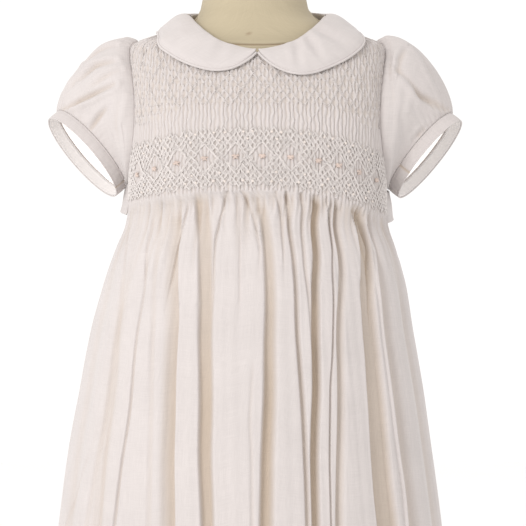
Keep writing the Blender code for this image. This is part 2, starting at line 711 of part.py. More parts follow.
# A bow loop in plan: along the sash, out from the back, and half its height.
LoopPoint = namedtuple("LoopPoint", "along out half_height")
BOW_LOOP = [LoopPoint(11.6, 18.5, 6), LoopPoint(26, 24, 10), LoopPoint(44, 26, 13),
            LoopPoint(62, 24, 14.5), LoopPoint(72, 20, 15), LoopPoint(74, 15.5, 15),
            LoopPoint(68, 12, 14.5), LoopPoint(50, 10.5, 13), LoopPoint(30, 11, 10),
            LoopPoint(11.6, 12.5, 6)]
BOW_DROOP = 9.0            # degrees that a loop hangs down


def back_y():
    """Depth of the dress's inside at the middle of the back, by the knot."""
    return float(on_sections(BODY, np.array(180.0), np.array(KNOT_Z))[1])


def build_strip(name, cloth, stations):
    """A strip of cloth on the body; a station has angles, heights and distance out."""
    wall = Wall()
    outside, inside = [], []
    for angle, z, out in stations:
        for rows, extra in ((outside, CLOTH), (inside, 0.0)):
            rows.append(wall.row(body_point(angle, z, out + extra)))
    wall.sheet(outside, inside)
    return wall.make(name, cloth)


def sash_stations(side):
    """The sash from a side seam round to the knot at the back."""
    start_z = SASH_START_Z[side]
    across = np.array([-1, -0.33, 0.33, 1])
    stations = []
    for share in np.linspace(0, 1, 9):
        ease = share * share * (3 - 2 * share)
        out = SASH_OUT + 1.6 * ease + (1 - across ** 2) * min(1, 4 * share)
        half = SASH_WIDTH / 2 - 4.5 * ease ** 2
        z = start_z + (KNOT_Z - start_z) * ease + across * half
        angle = side * np.full(len(across), 90.6 + (SASH_END - 90.6) * share)
        stations.append((angle, z, out))
    return stations


def tail_stations(points, slant):
    """A tail of the bow, hanging on the back skirt, with a slanted end."""
    across = np.array([-1, -0.33, 0.33, 1])
    stations = []
    for number, p in enumerate(points):
        last = number == len(points) - 1
        z = p.z + (slant * across if last else 0 * across)
        angle = 180 + angle_at_x(p.x + across * p.half_width, z)
        stations.append((angle, z, p.out + 1 - across ** 2))
    return stations


def build_bow_loop(name, cloth, side):
    """One loop of the bow: a band out from the knot, round and back to it."""
    wall = Wall()
    path = np.array([(p.along, p.out) for p in BOW_LOOP], float)
    step = np.gradient(path, axis=0)
    normal = np.stack([step[:, 1], -step[:, 0]], axis=1)
    normal /= np.linalg.norm(normal, axis=1, keepdims=True)
    droop = math.radians(BOW_DROOP)
    rows = {1: [], -1: []}
    for face in (1, -1):
        for point, way, p in zip(path, normal, BOW_LOOP):
            along, out = point + way * face * CLOTH / 2
            across = np.array([-1, 0, 1]) * p.half_height
            x = side * (along * math.cos(droop) + across * math.sin(droop))
            z = KNOT_Z - along * math.sin(droop) + across * math.cos(droop)
            y = np.full(3, back_y() + out)
            rows[face].append(wall.row(np.stack([x, y, z], axis=1)))
    wall.sheet(rows[1], rows[-1])
    return wall.make(name, cloth)


def build_knot(name, cloth):
    """The bow's knot: a rounded block."""
    wall = Wall()
    half_x, half_y, half_z = KNOT_SIZE
    rings = []
    around = np.arange(14) * 2 * math.pi / 14
    for level in np.radians([-80, -55, -25, 0, 25, 55, 80]):
        flat = math.cos(level) ** 0.6
        x = half_x * flat * np.sign(np.cos(around)) * np.abs(np.cos(around)) ** 0.7
        y = half_y * flat * np.sign(np.sin(around)) * np.abs(np.sin(around)) ** 0.7
        z = np.full(14, half_z * math.sin(level))
        rings.append(wall.ring(np.stack([x, back_y() + KNOT_OUT + y, KNOT_Z + z], axis=1)))
    wall.solid(rings)
    return wall.make(name, cloth)


def build_button(name, shell, z):
    """A round button on the lap of the back."""
    wall = Wall()
    base = CLOTH * 2 + SEAM * 3
    centre = body_point(np.array([180.0]), z, base)[0]
    axis = outward(BODY, np.array([180.0]), np.array([float(z)]))[0]
    sideways = np.array([1.0, 0, 0])
    upward = np.cross(axis, sideways)
    turn = np.arange(14) * 2 * math.pi / 14
    rings = []
    for height, radius in ((0, 0.86), (0.3, 1.0), (0.75, 1.0), (1.0, 0.85)):
        circle = np.outer(np.cos(turn), sideways) + np.outer(np.sin(turn), upward)
        rings.append(wall.ring(centre + axis * (height * BUTTON_THICKNESS)
                               + circle * (radius * BUTTON_RADIUS)))
    wall.solid(rings)
    return wall.make(name, shell)


# ---- dress form and stand -------------------------------------------------
def build_turned(name, made_of, profile, count=32):
    """A solid turned round the upright axis from (radius, height) pairs."""
    wall = Wall()
    turn = np.arange(count) * 2 * math.pi / count
    rings = []
    for radius, z in profile:
        rings.append(wall.ring(np.stack([radius * np.cos(turn), radius * np.sin(turn),
                                         np.full(count, z)], axis=1)))
    wall.solid(rings)
    return wall.make(name, made_of)


def build_bust(linen):
    """Body of the dress form, from its flat underside to the top of its neck."""
    wall = Wall()
    angle = np.arange(BUST_SIDES) * 360 / BUST_SIDES
    rings = []
    heights = [s.z for s in FORM]
    for low, high in zip(heights, heights[1:]):
        shoulder = 730 < low < 765
        rings += [low, (low + high) / 2] if shoulder else [low]
    rings.append(heights[-1])
    laced = [wall.ring(on_sections(FORM, angle, np.full(len(angle), float(z)))) for z in rings]
    wall.solid(laced)
    return wall.make("form_bust", linen)


def build_neck_cap(wood):
    """Low domed cap on the neck."""
    wall = Wall()
    top = FORM[-1]
    angle = np.arange(32) * 11.25
    rings = []
    for share, rise in ((0.98, SEAM), (1.0, 3.0), (0.92, 7.0), (0.5, 11.0)):
        ring = on_sections(FORM, angle, np.full(len(angle), float(top.z))) * (share, share, 1)
        rings.append(wall.ring(ring + (0, 0, rise)))
    wall.solid(rings)
    return wall.make("form_neck_cap", wood)


def build_all():
    for obj in list(bpy.data.objects):
        bpy.data.objects.remove(obj, do_unlink=True)
    cloth = material("dress_cloth", (0.80, 0.76, 0.73), 0.9)
    linen = material("form_linen", (0.62, 0.52, 0.38), 0.9)
    wood = material("stand_wood", (0.55, 0.38, 0.22), 0.5)
    shell = material("button_shell", (0.85, 0.83, 0.78), 0.3)
    build_front(cloth)
    build_back_half("back_right", cloth, 1, over=False)
    build_back_half("back_left", cloth, -1, over=True)
    build_back_skirt(cloth)
    for sleeve in SLEEVES:
        hand = "right" if sleeve.side > 0 else "left"
        build_sleeve(f"sleeve_{hand}", cloth, sleeve)
        build_cuff(f"cuff_{hand}", cloth, sleeve)
        build_collar(f"collar_{hand}", cloth, sleeve.side)
        build_piping(f"collar_piping_{hand}", cloth, sleeve.side)
        build_strip(f"sash_{hand}", cloth, sash_stations(sleeve.side))
        build_bow_loop(f"bow_loop_{hand}", cloth, sleeve.side)
    build_strip("bow_tail_left", cloth, tail_stations(TAIL_LEFT, TAIL_SLANT))
    build_strip("bow_tail_right", cloth, tail_stations(TAIL_RIGHT, -TAIL_SLANT))
    build_knot("bow_knot", cloth)
    for number, z in enumerate((722, 682, 642)):
        build_button(f"button_{number + 1}", shell, z)
    build_bust(linen)
    build_neck_cap(wood)
    build_turned("form_pole", wood, [(POLE_RADIUS, BASE_THICKNESS + SEAM),
                                     (POLE_RADIUS, FORM[0].z - SEAM)], 20)
    build_turned("form_base", wood, [(BASE_RADIUS - 3, 0), (BASE_RADIUS, 3),
                                     (BASE_RADIUS, BASE_THICKNESS - 6),
                                     (BASE_RADIUS - 6, BASE_THICKNESS)], 32)


build_all()
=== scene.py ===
"""Toddler's smocked dress on a limbless dress form: looks, light and camera.

Lengths are in millimetres until a mesh is written.  The dress's front faces -Y.
"""
from collections import namedtuple
import math

import bpy
import numpy as np
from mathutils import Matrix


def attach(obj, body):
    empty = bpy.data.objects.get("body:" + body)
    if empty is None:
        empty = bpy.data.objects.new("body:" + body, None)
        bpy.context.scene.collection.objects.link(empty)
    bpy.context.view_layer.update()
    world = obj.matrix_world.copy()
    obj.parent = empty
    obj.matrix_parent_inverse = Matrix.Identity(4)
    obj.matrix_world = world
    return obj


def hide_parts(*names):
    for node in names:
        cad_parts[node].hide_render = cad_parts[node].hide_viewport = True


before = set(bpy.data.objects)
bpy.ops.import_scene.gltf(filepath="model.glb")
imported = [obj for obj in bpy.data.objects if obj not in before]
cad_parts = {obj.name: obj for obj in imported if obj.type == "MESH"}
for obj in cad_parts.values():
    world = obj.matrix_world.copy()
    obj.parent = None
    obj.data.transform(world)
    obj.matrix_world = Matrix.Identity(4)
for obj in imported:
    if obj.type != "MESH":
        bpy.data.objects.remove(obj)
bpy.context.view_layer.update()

MM = 0.001
HEM_Z = 215.0
CLOTH = 1.5                # thickness of the bodice's cloth
THIN_CLOTH = CLOTH * 0.8   # of the skirt's back, the sleeves and the sash
SEAM = 0.3                 # gap between pieces that are sewn together
CUFF_WIDTH = 11.0
SASH_WIDTH = 26.0
PLACKET_LAP = 9.0
HAND = {-1: "left", 1: "right"}
TINY = 1e-9


def placed(name, data):
    """A new object in the scene."""
    obj = bpy.data.objects.new(name, data)
    bpy.context.scene.collection.objects.link(obj)
    return obj



# ---- camera ---------------------------------------------------------------
PHOTO_PX = 526
PIXEL = 0.85               # mm to each pixel at the middle of the dress
CAMERA_AWAY = 1900.0       # level distance to the dress's middle
CAMERA_X, CAMERA_Z = 4.7, 660.0
AIM_Z = 548.5
CAMERA_DIP = math.atan2(CAMERA_Z - AIM_Z, CAMERA_AWAY)
CAMERA_REACH = math.hypot(CAMERA_AWAY, CAMERA_Z - AIM_Z)
SENSOR = 36.0

camera_data = bpy.data.cameras.new("camera")
camera = placed("camera", camera_data)
camera.location = (CAMERA_X * MM, -CAMERA_AWAY * MM, CAMERA_Z * MM)
camera.rotation_euler = (math.radians(90) - CAMERA_DIP, 0, 0)
camera_data.sensor_width = SENSOR
camera_data.lens = SENSOR * CAMERA_REACH / (PHOTO_PX * PIXEL)
camera_data.clip_end = 50
bpy.context.scene.camera = camera

# ---- the dress's sections, as in the CAD ----------------------------------
Section = namedtuple("Section", "z centre_x half_width front back squareness")
FORM = [Section(*row) for row in (
    (345, 0, 88, 66, 70, 2.2), (360, 0, 94, 71, 75, 2.3), (400, 0, 98, 74, 80, 2.4),
    (450, 0, 97, 76, 76, 2.4), (500, 0, 94, 77, 70, 2.4), (550, 0, 92, 76, 66, 2.4),
    (600, 0, 94, 75, 68, 2.4), (640, 0, 96, 74, 71, 2.4), (670, 0, 97, 70, 72, 2.4),
    (700, 0, 98, 61, 68, 2.4), (720, 0, 97.5, 50, 58, 2.3), (728, 0, 97, 45, 52, 2.3),
    (732, 0, 94.7, 43, 50, 2.25), (735, 0, 90.5, 42, 48, 2.2), (740, 0, 78.9, 41, 46, 2.15),
    (749, 0, 61.8, 39.5, 43.5, 2.05), (757, -1.5, 49, 39, 42, 2.0), (765, -2.5, 45, 39.5, 41, 2.0),
    (780, -2.5, 43, 39.5, 40, 2.0), (812, -2.5, 43, 40, 41, 2.0))]
BODY = [Section(*row) for row in (          # the inside of the dress
    (215, -7.5, 173.5, 137, 140, 2.1), (270, -7.0, 168.0, 133, 136, 2.1),
    (327, -6.5, 161.5, 128, 132, 2.1), (388, -6.5, 153.2, 122, 127, 2.15),
    (440, -5.3, 144.5, 116, 122, 2.2), (488, -4.8, 135.6, 110, 116, 2.25),
    (530, -2.5, 126.2, 103, 108, 2.3), (560, -1.5, 116.8, 96, 98, 2.35),
    (585, -1.0, 107.8, 88, 86, 2.4), (600, 0, 106.5, 84.5, 80, 2.45), (640, 0, 106, 82, 77, 2.5),
    (670, 0, 106, 77, 76, 2.5), (700, 0, 106, 67, 71, 2.45), (720, 0, 106, 56, 62, 2.4),
    (728, 0, 105.3, 50.5, 57, 2.35), (732, 0, 103, 48, 54, 2.3), (735, 0, 95.5, 46.5, 51.5, 2.25),
    (740, 0, 80, 44.5, 48.5, 2.15), (749, 0, 63, 42, 45.5, 2.05), (757, 0, 55.5, 41, 44, 2.0),
    (770, 0, 52, 41, 43, 2.0))]
# Neckline: its height at each angle round the neck, 0 at the front.
NECKLINE = [(0, 724.5), (6, 728), (14, 733), (29, 740.2), (52, 749.2), (68, 754),
            (90, 757), (120, 760), (150, 763), (180, 764)]
# Level lines of the bodice: height in the middle and at each side seam.
Level = namedtuple("Level", "name middle left right")
FRONT_LEVELS = [Level("shoulder tip", 711, 732, 732),
                Level("foot of the diamonds", 681, 678, 676),
                Level("top of the band", 666, 650, 642),
                Level("underarm and row of flowers", 640, 620, 614),
                Level("foot of the smocking", 613, 600, 588)]
BACK_LEVELS = [Level("shoulder tip", 728, 732, 732),
               Level("shoulder blades", 681, 678, 676),
               Level("underarm", 640, 620, 614),
               Level("waist", 603, 600, 588)]
SHOULDER_Z = FRONT_LEVELS[0].right
UNDERARM = FRONT_LEVELS[3]

# Soft folds of the skirt: valleys, with their angle round the body at four
# heights, their depth at the gathers and at the hem, and half width.
Fold = namedtuple("Fold", "at_580 at_500 at_400 at_hem top_depth hem_depth half_width")
FOLD_HEIGHTS = [HEM_Z, 400, 500, 580]
SIDE_FOLDS = [Fold(-74, -69, -68, -68, 2, 5, 9), Fold(-58, -52, -50, -52, 3, 5, 8),
              Fold(56, 54, 55, 59, 6, 9, 8), Fold(73, 72, 74, 76, 4, 7, 9)]
BACK_FOLDS = [Fold(*row) for row in (
    (100, 101, 103, 104, 4, 7, 9), (113, 112, 114, 117, 5, 9, 8), (124, 126, 128, 128, 4, 5, 7),
    (134, 135, 138, 140, 6, 10, 9), (146, 147, 147, 149, 5, 6, 7), (156, 155, 158, 160, 5, 8, 7),
    (167, 168, 168, 171, 6, 10, 8), (178, 180, 182, 183, 4, 6, 7), (189, 190, 193, 195, 6, 9, 8),
    (201, 202, 203, 204, 5, 5, 7), (211, 213, 215, 218, 6, 10, 9), (224, 224, 226, 229, 4, 6, 7),
    (235, 237, 240, 242, 5, 9, 9), (248, 250, 252, 254, 4, 6, 8), (259, 260, 260, 261, 3, 4, 7))]

# Armholes: how far the edge is cut back from the side seam, in degrees.
ARMHOLE_CUT_FRONT = 21.0
ARMHOLE_CUT_BACK = 17.0
ARMHOLE_ROUNDNESS = 0.7
SIDE_ZONE = 40.0           # degrees beside the side seam where columns close up

# Sleeve: where the cuff ends, the half sizes of its opening, the downward
# slope of its long way, and how its mouth turns to the front.
Sleeve = namedtuple("Sleeve", "side x y z half_long half_short slope turn puff")
SLEEVES = [Sleeve(-1, -148.8, 2, 638, 42.8, 25, 49.2, 26, 26),
           Sleeve(1, 146.8, 2, 636.3, 41.5, 24, 50.9, 22, 30)]
PUFF_SPREAD = 20.0         # how far the puff stands out over the cuff's top
PUFF_BACK = 14.0           # and how far back from the cuff it does so
LONG_SIDE = 50.0           # gathers are full height where the sleeve is this long


# ---- numbers and curves ---------------------------------------------------
def clamp(value):
    """The value, held between 0 and 1."""
    return np.clip(value, 0, 1)


def ramp(t):
    """Smooth step from 0 to 1."""
    t = clamp(t)
    return t * t * (3 - 2 * t)


def bell(offset):
    """1 at no offset, falling away on both sides."""
    return np.exp(-offset ** 2)


def arch(share):
    """0 at both ends of a stretch, 1 half way."""
    return np.sin(math.pi * share)


def half_wave(turn):
    """A wave between 0 and 1."""
    return 0.5 + 0.5 * np.sin(turn)


def unit(vectors, least=0.0):
    """The vectors, each with a length of 1; one shorter than the least stays short."""
    return vectors / np.maximum(np.linalg.norm(vectors, axis=-1, keepdims=True), least)


def full_turn(count):
    """Angles spread evenly round a circle, in radians."""
    return np.arange(count) * 2 * math.pi / count


def from_axes(centre, axes, *amounts):
    """Points that lie amounts along axes from a centre."""
    for amount, axis in zip(amounts, axes):
        centre = centre + np.outer(amount, axis)
    return centre


def run_length(line):
    """Distance along a line of points, at each of them."""
    return np.concatenate([[0], np.cumsum(np.linalg.norm(np.diff(line, axis=0), axis=1))])


def triangle_wave(t):
    """Zigzag between -1 and 1, once for each whole number."""
    return 4 * np.abs((t - np.floor(t)) - 0.5) - 1


def smooth_noise(values, seed, scale):
    """Slow, repeatable random wave of one number, between -1 and 1."""
    rng = np.random.RandomState(seed)
    total = np.zeros(np.shape(values))
    for octave in range(4):
        phase = rng.rand() * 6.28
        rate = (0.7 + 0.6 * rng.rand()) * 1.7 ** octave / scale
        total = total + np.sin(np.asarray(values) * rate * 2 * math.pi + phase) / (1 + 0.5 * octave)
    return total / 2.6


def smooth_curve(at, knots, values):
    """Value of a smooth curve through the knots that never overshoots them."""
    at = np.clip(np.asarray(at, float), knots[0], knots[-1])
    knots = np.asarray(knots, float)
    values = np.asarray(values, float)
    step = np.diff(knots)
    slope = np.diff(values) / step
    tangent = np.zeros(len(knots))
    tangent[0], tangent[-1] = slope[0], slope[-1]
    for i in range(1, len(knots) - 1):
        if slope[i - 1] * slope[i] > 0:
            tangent[i] = 2 * slope[i - 1] * slope[i] / (slope[i - 1] + slope[i])
    i = np.clip(np.searchsorted(knots, at, side="right") - 1, 0, len(step) - 1)
    t = (at - knots[i]) / step[i]
    return (values[i] * (1 + 2 * t) * (1 - t) ** 2 + values[i + 1] * t * t * (3 - 2 * t)
            + tangent[i] * step[i] * t * (1 - t) ** 2 - tangent[i + 1] * step[i] * t * t * (1 - t))


# ---- surfaces of the body -------------------------------------------------
def size_at(sections, name, z):
    """One size of a body at a height."""
    return smooth_curve(z, [s.z for s in sections], [getattr(s, name) for s in sections])


def on_sections(sections, angle, z):
    """Point of a body given by its sections, at an angle (degrees) and height."""
    turn = np.radians(np.asarray(angle, float))
    sine, cosine = np.sin(turn), np.cos(turn)
    power = 2 / size_at(sections, "squareness", z)
    depth = np.where(cosine > 0, size_at(sections, "front", z), size_at(sections, "back", z))
    x = (size_at(sections, "centre_x", z)
         + size_at(sections, "half_width", z) * np.sign(sine) * np.abs(sine) ** power)
    y = -depth * np.sign(cosine) * np.abs(cosine) ** power
    return np.stack(np.broadcast_arrays(x, y, np.asarray(z, float)), axis=-1)


def neckline_z(angle):
    """Height of the neckline at an angle in degrees."""
    folded = np.abs((np.asarray(angle, float) + 180) % 360 - 180)
    return smooth_curve(folded, *zip(*NECKLINE))


def level_z(level, angle):
    """Height of a level line of the bodice: it droops towards the side seams."""
    sine = np.sin(np.radians(angle))
    side = np.where(sine < 0, level.left, level.right)
    return level.middle + (side - level.middle) * sine ** 2


def outward(sections, angle, z):
    """Unit direction out of the body, level with the seams at the two sides."""
    turn, rise = 0.6, 1.0
    across = on_sections(sections, angle + turn, z) - on_sections(sections, angle - turn, z)
    up = on_sections(sections, angle, z + rise) - on_sections(sections, angle, z - rise)
    normal = np.cross(across, up)
    beside = np.abs(np.cos(np.radians(angle))) < 0.02
    normal[..., 1] = np.where(beside, 0.0, normal[..., 1])
    return unit(normal)


def body_point(angle, z, out=0.0):
    """Point of the dress's inside, moved out by a distance."""
    angle = np.asarray(angle, float)
    z = np.broadcast_to(np.asarray(z, float), angle.shape)
    out = np.broadcast_to(np.asarray(out, float), angle.shape)
    return on_sections(BODY, angle, z) + outward(BODY, angle, z) * out[..., None]


def body_radius(z):
    """Middling radius of the body's front at a height."""
    return smooth_curve(z, [s.z for s in BODY], [(s.half_width + s.front) / 2 for s in BODY])


def armhole_cut(z, side, cut):
    """Degrees that the armhole is cut back from the side seam at a height."""
    low = level_z(UNDERARM, 90.0 * side)
    share = clamp((SHOULDER_Z - z) / (SHOULDER_Z - low))
    return cut * arch(share) ** ARMHOLE_ROUNDNESS


def angle_at_x(x, z):
    """Angle, past the middle of the back, of a point this far to the side."""
    share = abs(x) / size_at(BODY, "half_width", z)
    return np.degrees(np.arcsin(share ** (size_at(BODY, "squareness", z) / 2))) * np.sign(x)


def armhole_loop(sleeve, around, grow):
    """Points round an armhole, on the outside of the bodice."""
    low = float(level_z(UNDERARM, 90.0 * sleeve.side))
    middle = (SHOULDER_Z + low) / 2
    cosine, sine = np.cos(around), np.sin(around)
    cut = np.where(sine > 0, ARMHOLE_CUT_FRONT, -ARMHOLE_CUT_BACK)
    cut = cut * arch((1 - cosine) / 2) ** ARMHOLE_ROUNDNESS
    angle = 90 - cut - np.degrees(grow / 95) * sine
    z = middle + (SHOULDER_Z - middle + grow) * cosine
    return body_point(sleeve.side * angle, z, CLOTH + 2 * SEAM)


def cuff_frame(sleeve):
    """Centre, long and short directions, and outward axis of a cuff's mouth."""
    slope, turn = math.radians(sleeve.slope), math.radians(sleeve.turn)
    across = np.array([-sleeve.side * math.sin(slope), 0, math.cos(slope)])
    long_way = np.array([-sleeve.side * math.cos(slope), 0, -math.sin(slope)])
    front = np.array([0, -1.0, 0])
    short_way = across * math.sin(turn) + front * math.cos(turn)
    axis = -across * math.cos(turn) + front * math.sin(turn)
    return np.array([sleeve.x, sleeve.y, sleeve.z]), long_way, short_way, axis


def cuff_spokes(sleeve, around, long=1.0, short=1.0):
    """Directions from a cuff's middle to points round it, times its half sizes."""
    _, long_way, short_way, _ = cuff_frame(sleeve)
    return -np.outer(np.cos(around) * long, long_way) + np.outer(np.sin(around) * short, short_way)


def cuff_ring(sleeve, around, back, shrink):
    """Ring of the cuff, some way back from its mouth."""
    centre, _, _, axis = cuff_frame(sleeve)
    return centre - axis * back + cuff_spokes(sleeve, around, sleeve.half_long - shrink,
                                              sleeve.half_short - shrink)


def sleeve_surface(sleeve, around, shares):
    """Puffed tube from the armhole to the cuff, one curve for each direction."""
    start = armhole_loop(sleeve, around, CLOTH)
    end = cuff_ring(sleeve, around, CUFF_WIDTH + SEAM, 0)
    axis = cuff_frame(sleeve)[3]
    top = ((1 + np.cos(around)) / 2)[:, None]
    out = unit(np.stack([np.full(len(around), sleeve.side * 1.0), -0.5 * np.sin(around),
                         0.35 + 0.65 * np.cos(around)], axis=-1))
    puffed = top ** 0.6
    straight = (end - start) / 3 * (1 - puffed)
    leave = start + out * sleeve.puff * puffed + straight
    spread = cuff_spokes(sleeve, around) * PUFF_SPREAD - axis * PUFF_BACK
    arrive = end + spread * top - straight
    share = np.asarray(shares)[:, None, None]
    return ((1 - share) ** 3 * start + 3 * share * (1 - share) ** 2 * leave
            + 3 * share ** 2 * (1 - share) * arrive + share ** 3 * end)


# ---- collar, sash and bow -------------------------------------------------
# Width of the collar's halves by angle from the front; the right half is fuller.
COLLAR_WIDTH_ANGLES = [0, 20, 30, 42, 52, 64, 80, 105, 150, 180]
COLLAR_WIDTHS = {-1: [33.0, 35.8, 37.9, 38.0, 34.2, 33.0, 32.2, 32.3, 35.0, 36.0],
                 1: [35.0, 40.3, 42.4, 43.0, 41.2, 37.5, 34.0, 32.5, 35.0, 36.0]}
FRONT_CORNER = 11.0        # degrees over which the collar's corner rounds off
BACK_CORNER = 6.0
COLLAR_LIFT = 2.4          # clearance over the smocking below it
COLLAR_ROLL = 4.0          # how far its middle swells over the shoulders
LAP_RISE_FROM = 147.0      # the collar climbs onto the lapped back from here
LAP_RISE_OVER = 11.0


def down_from_neck(angle, distance):
    """Height reached by going down the body's side from the neckline."""
    z = neckline_z(angle) - np.linspace(0, 70, 141)
    line = on_sections(BODY, np.full(len(z), float(angle)), z)
    return float(np.interp(distance, run_length(line), z))


def collar_width(angle, side):
    """Width of a collar half; its corners round off at both middles."""
    width = float(smooth_curve(angle, COLLAR_WIDTH_ANGLES, COLLAR_WIDTHS[side]))
    return (width * math.tanh((angle / FRONT_CORNER) ** 0.75)
            * math.tanh((180 - angle) / BACK_CORNER))


def collar_lift(share, angle):
    """How far the collar stands over the bodice, from neck (0) to edge (1)."""
    over_lap = (CLOTH + SEAM) * clamp((angle - LAP_RISE_FROM) / LAP_RISE_OVER)
    roll = COLLAR_ROLL * np.sin(np.radians(angle)) ** 2 * math.sin(math.pi * share ** 0.65)
    clear = COLLAR_LIFT * math.sin(math.pi / 2 * min(1.0, 2 * share))
    return CLOTH + 1.5 * SEAM + over_lap + clear + roll


KNOT_Z = 602.0
KNOT_OUT = 12.6            # middle of the knot, out from the back's inside
KNOT_SIZE = (11, 9, 13)
SASH_START_Z = {-1: 602.5, 1: 595.5}
SASH_OUT = CLOTH + 0.9     # clears the gathers just below the waist
SASH_START = 88.6          # degrees from the front
SASH_END = 177.12
# Tails of the bow: middle, half width and distance out at each height.
TailPoint = namedtuple("TailPoint", "x z out half_width")
TAIL_LEFT = [TailPoint(7.5, 584.8, 7, 5.5), TailPoint(13, 570, 4.5, 9.5),
             TailPoint(17, 548, 2.2, 12.5), TailPoint(20, 512, 1.8, 13),
             TailPoint(22, 475, 1.8, 13), TailPoint(25, 436, 1.8, 13)]
TAIL_RIGHT = [TailPoint(-7.5, 584.8, 7, 5.5), TailPoint(-14, 570, 4.5, 9.5),
              TailPoint(-20, 548, 2.2, 12.5), TailPoint(-25, 512, 1.8, 13),
              TailPoint(-29, 480, 1.8, 13), TailPoint(-32, 450, 1.8, 13)]
TAIL_SLANT = 10.0          # how much longer one corner of a tail is
# A bow loop in plan: along the sash, out from the back, and half its height.
BOW_LOOP = [(11.6, 18.5, 6), (26, 24, 10), (44, 26, 13), (62, 24, 14.5), (72, 20, 15),
            (74, 15.5, 15), (68, 12, 14.5), (50, 10.5, 13), (30, 11, 10), (11.6, 12.5, 6)]
BOW_DROOP = 9.0            # degrees that a loop hangs down


def back_y():
    """Depth of the dress's inside at the middle of the back, by the knot."""
    return float(on_sections(BODY, np.array(180.0), np.array(KNOT_Z))[1])


# ---- meshes ---------------------------------------------------------------
THREAD_END = 0.35          # thickness of a tapered thread's end, as a share


def make_mesh(name, points, faces, uv=None, fold=None, material=None):
    """Object from points in mm; uv in mm and fold share (painted shade in the dress, seam and
    pin-hole marks on the form) are for each point.
    """
    mesh = bpy.data.meshes.new(name)
    mesh.from_pydata((np.asarray(points, float) * MM).tolist(), [],
                     [tuple(int(i) for i in f) for f in faces])
    mesh.validate()
    mesh.update()
    mesh.shade_smooth()
    if uv is not None:
        corner = np.empty(len(mesh.loops), dtype=np.int32)
        mesh.loops.foreach_get("vertex_index", corner)
        layer = mesh.uv_layers.new(name="cloth")
        layer.data.foreach_set("uv", (np.asarray(uv, float) * MM)[corner].ravel())
    if fold is not None:
        share = mesh.attributes.new("fold", "FLOAT", "POINT")
        share.data.foreach_set("value", np.asarray(fold, float).ravel())
    mesh.materials.append(material)
    return placed(name, mesh)


def grid_faces(rows, columns, first=0, closed=False):
    """Quads of a grid of points, row by row."""
    wide = np.arange(columns if closed else columns - 1)[None, :]
    row = np.arange(rows - 1)[:, None] * columns
    a, b = row + wide, row + (wide + 1) % columns
    return (np.stack([a, a + columns, b + columns, b], axis=-1).reshape(-1, 4) + first).tolist()


def capped_faces(rows, count):
    """Quads of a closed grid of rings, and a flat face at each end."""
    last = [(rows - 1) * count + k for k in range(count)]
    return grid_faces(rows, count, closed=True) + [list(range(count)), last[::-1]]


def grid_uv(grid):
    """Cloth lengths across and along a grid of points, in mm."""
    across = np.linalg.norm(np.diff(grid, axis=1), axis=2)
    across = np.concatenate([np.zeros((grid.shape[0], 1)), np.cumsum(across, axis=1)], axis=1)
    along = np.linalg.norm(np.diff(grid, axis=0), axis=2)
    along = np.concatenate([np.zeros((1, grid.shape[1])), np.cumsum(along, axis=0)], axis=0)
    middle = across[:, across.shape[1] // 2][:, None]
    return np.stack([across - middle, -along], axis=-1)


def wrapped_step(grid):
    """From the point before to the point after, on rows that close on themselves."""
    return np.roll(grid, -1, axis=1) - np.roll(grid, 1, axis=1)


def grid_normals(grid, closed=False):
    """Unit directions square to a grid of points."""
    across = wrapped_step(grid) if closed else np.gradient(grid, axis=1)
    return unit(np.cross(np.gradient(grid, axis=0), across), TINY)


def points_in(grid, normal):
    """Whether a tube's directions point to its inside."""
    return np.sum(normal * (grid - grid.mean(axis=1, keepdims=True))) < 0


def tube_normals(grid):
    """Outward directions of a tube's grid of points."""
    normal = unit(np.cross(wrapped_step(grid), np.gradient(grid, axis=0)))
    return -normal if points_in(grid, normal) else normal


def lace_faces(places_a, a, places_b, b):
    """Triangles that fill the strip between two rows of point numbers."""
    faces = []
    i = j = 0
    while i < len(a) - 1 or j < len(b) - 1:
        if j == len(b) - 1 or (i < len(a) - 1 and places_a[i + 1] <= places_b[j + 1]):
            faces.append((a[i], b[j], a[i + 1]))
            i += 1
        else:
            faces.append((a[i], b[j], b[j + 1]))
            j += 1
    return faces


def shell(name, grid, thickness, material, closed=False, fold=None, inside=None):
    """Cloth with two faces and rounded rims, from the grid of its outer face."""
    rows, columns, _ = grid.shape
    count = rows * columns
    normal = grid_normals(grid, closed)
    turned_in = closed and points_in(grid, normal)
    normal = (-normal if turned_in else normal).reshape(-1, 3)
    outer = grid.reshape(-1, 3)
    uv = grid_uv(grid).reshape(-1, 2)
    fold = np.zeros(count) if fold is None else fold.ravel()
    points, uvs, folds = [outer, outer - normal * thickness], [uv, uv], [fold, fold]
    faces = grid_faces(rows, columns, 0, closed)
    faces += [f[::-1] for f in grid_faces(rows, columns, count, closed)]
    # Each rim: its points, their neighbours within, and whether its faces turn over.
    number = np.arange(count).reshape(rows, columns)
    rims = [(number[0], number[1], False), (number[-1], number[-2], True)]
    if not closed:
        rims += [(number[:, 0], number[:, 1], True), (number[:, -1], number[:, -2], False)]
    first = 2 * count
    for rim, within, turn_over in rims:
        away = unit(outer[rim] - outer[within], TINY)
        points.append(outer[rim] - normal[rim] * thickness / 2 + away * thickness * 0.5)
        uvs.append(uv[rim])
        folds.append(fold[rim])
        for k in range(len(rim) - (not closed)):
            n = (k + 1) % len(rim)
            upper = (rim[k], rim[n], first + n, first + k)
            lower = (first + k, first + n, rim[n] + count, rim[k] + count)
            faces += [f[::-1] if turn_over else f for f in (upper, lower)]
        first += len(rim)
    faces = [f[::-1] for f in faces] if turned_in else faces
    piece = make_mesh(name, np.concatenate(points), faces, np.concatenate(uvs),
                      np.concatenate(folds), material)
    # Inner faces can take a second material: for sleeves and cuffs, their inside with its painted
    # glow.
    if inside is not None:
        piece.data.materials.append(inside)
        quads = (rows - 1) * (columns if closed else columns - 1)
        for polygon in piece.data.polygons[quads:2 * quads]:
            polygon.material_index = 1
    return piece


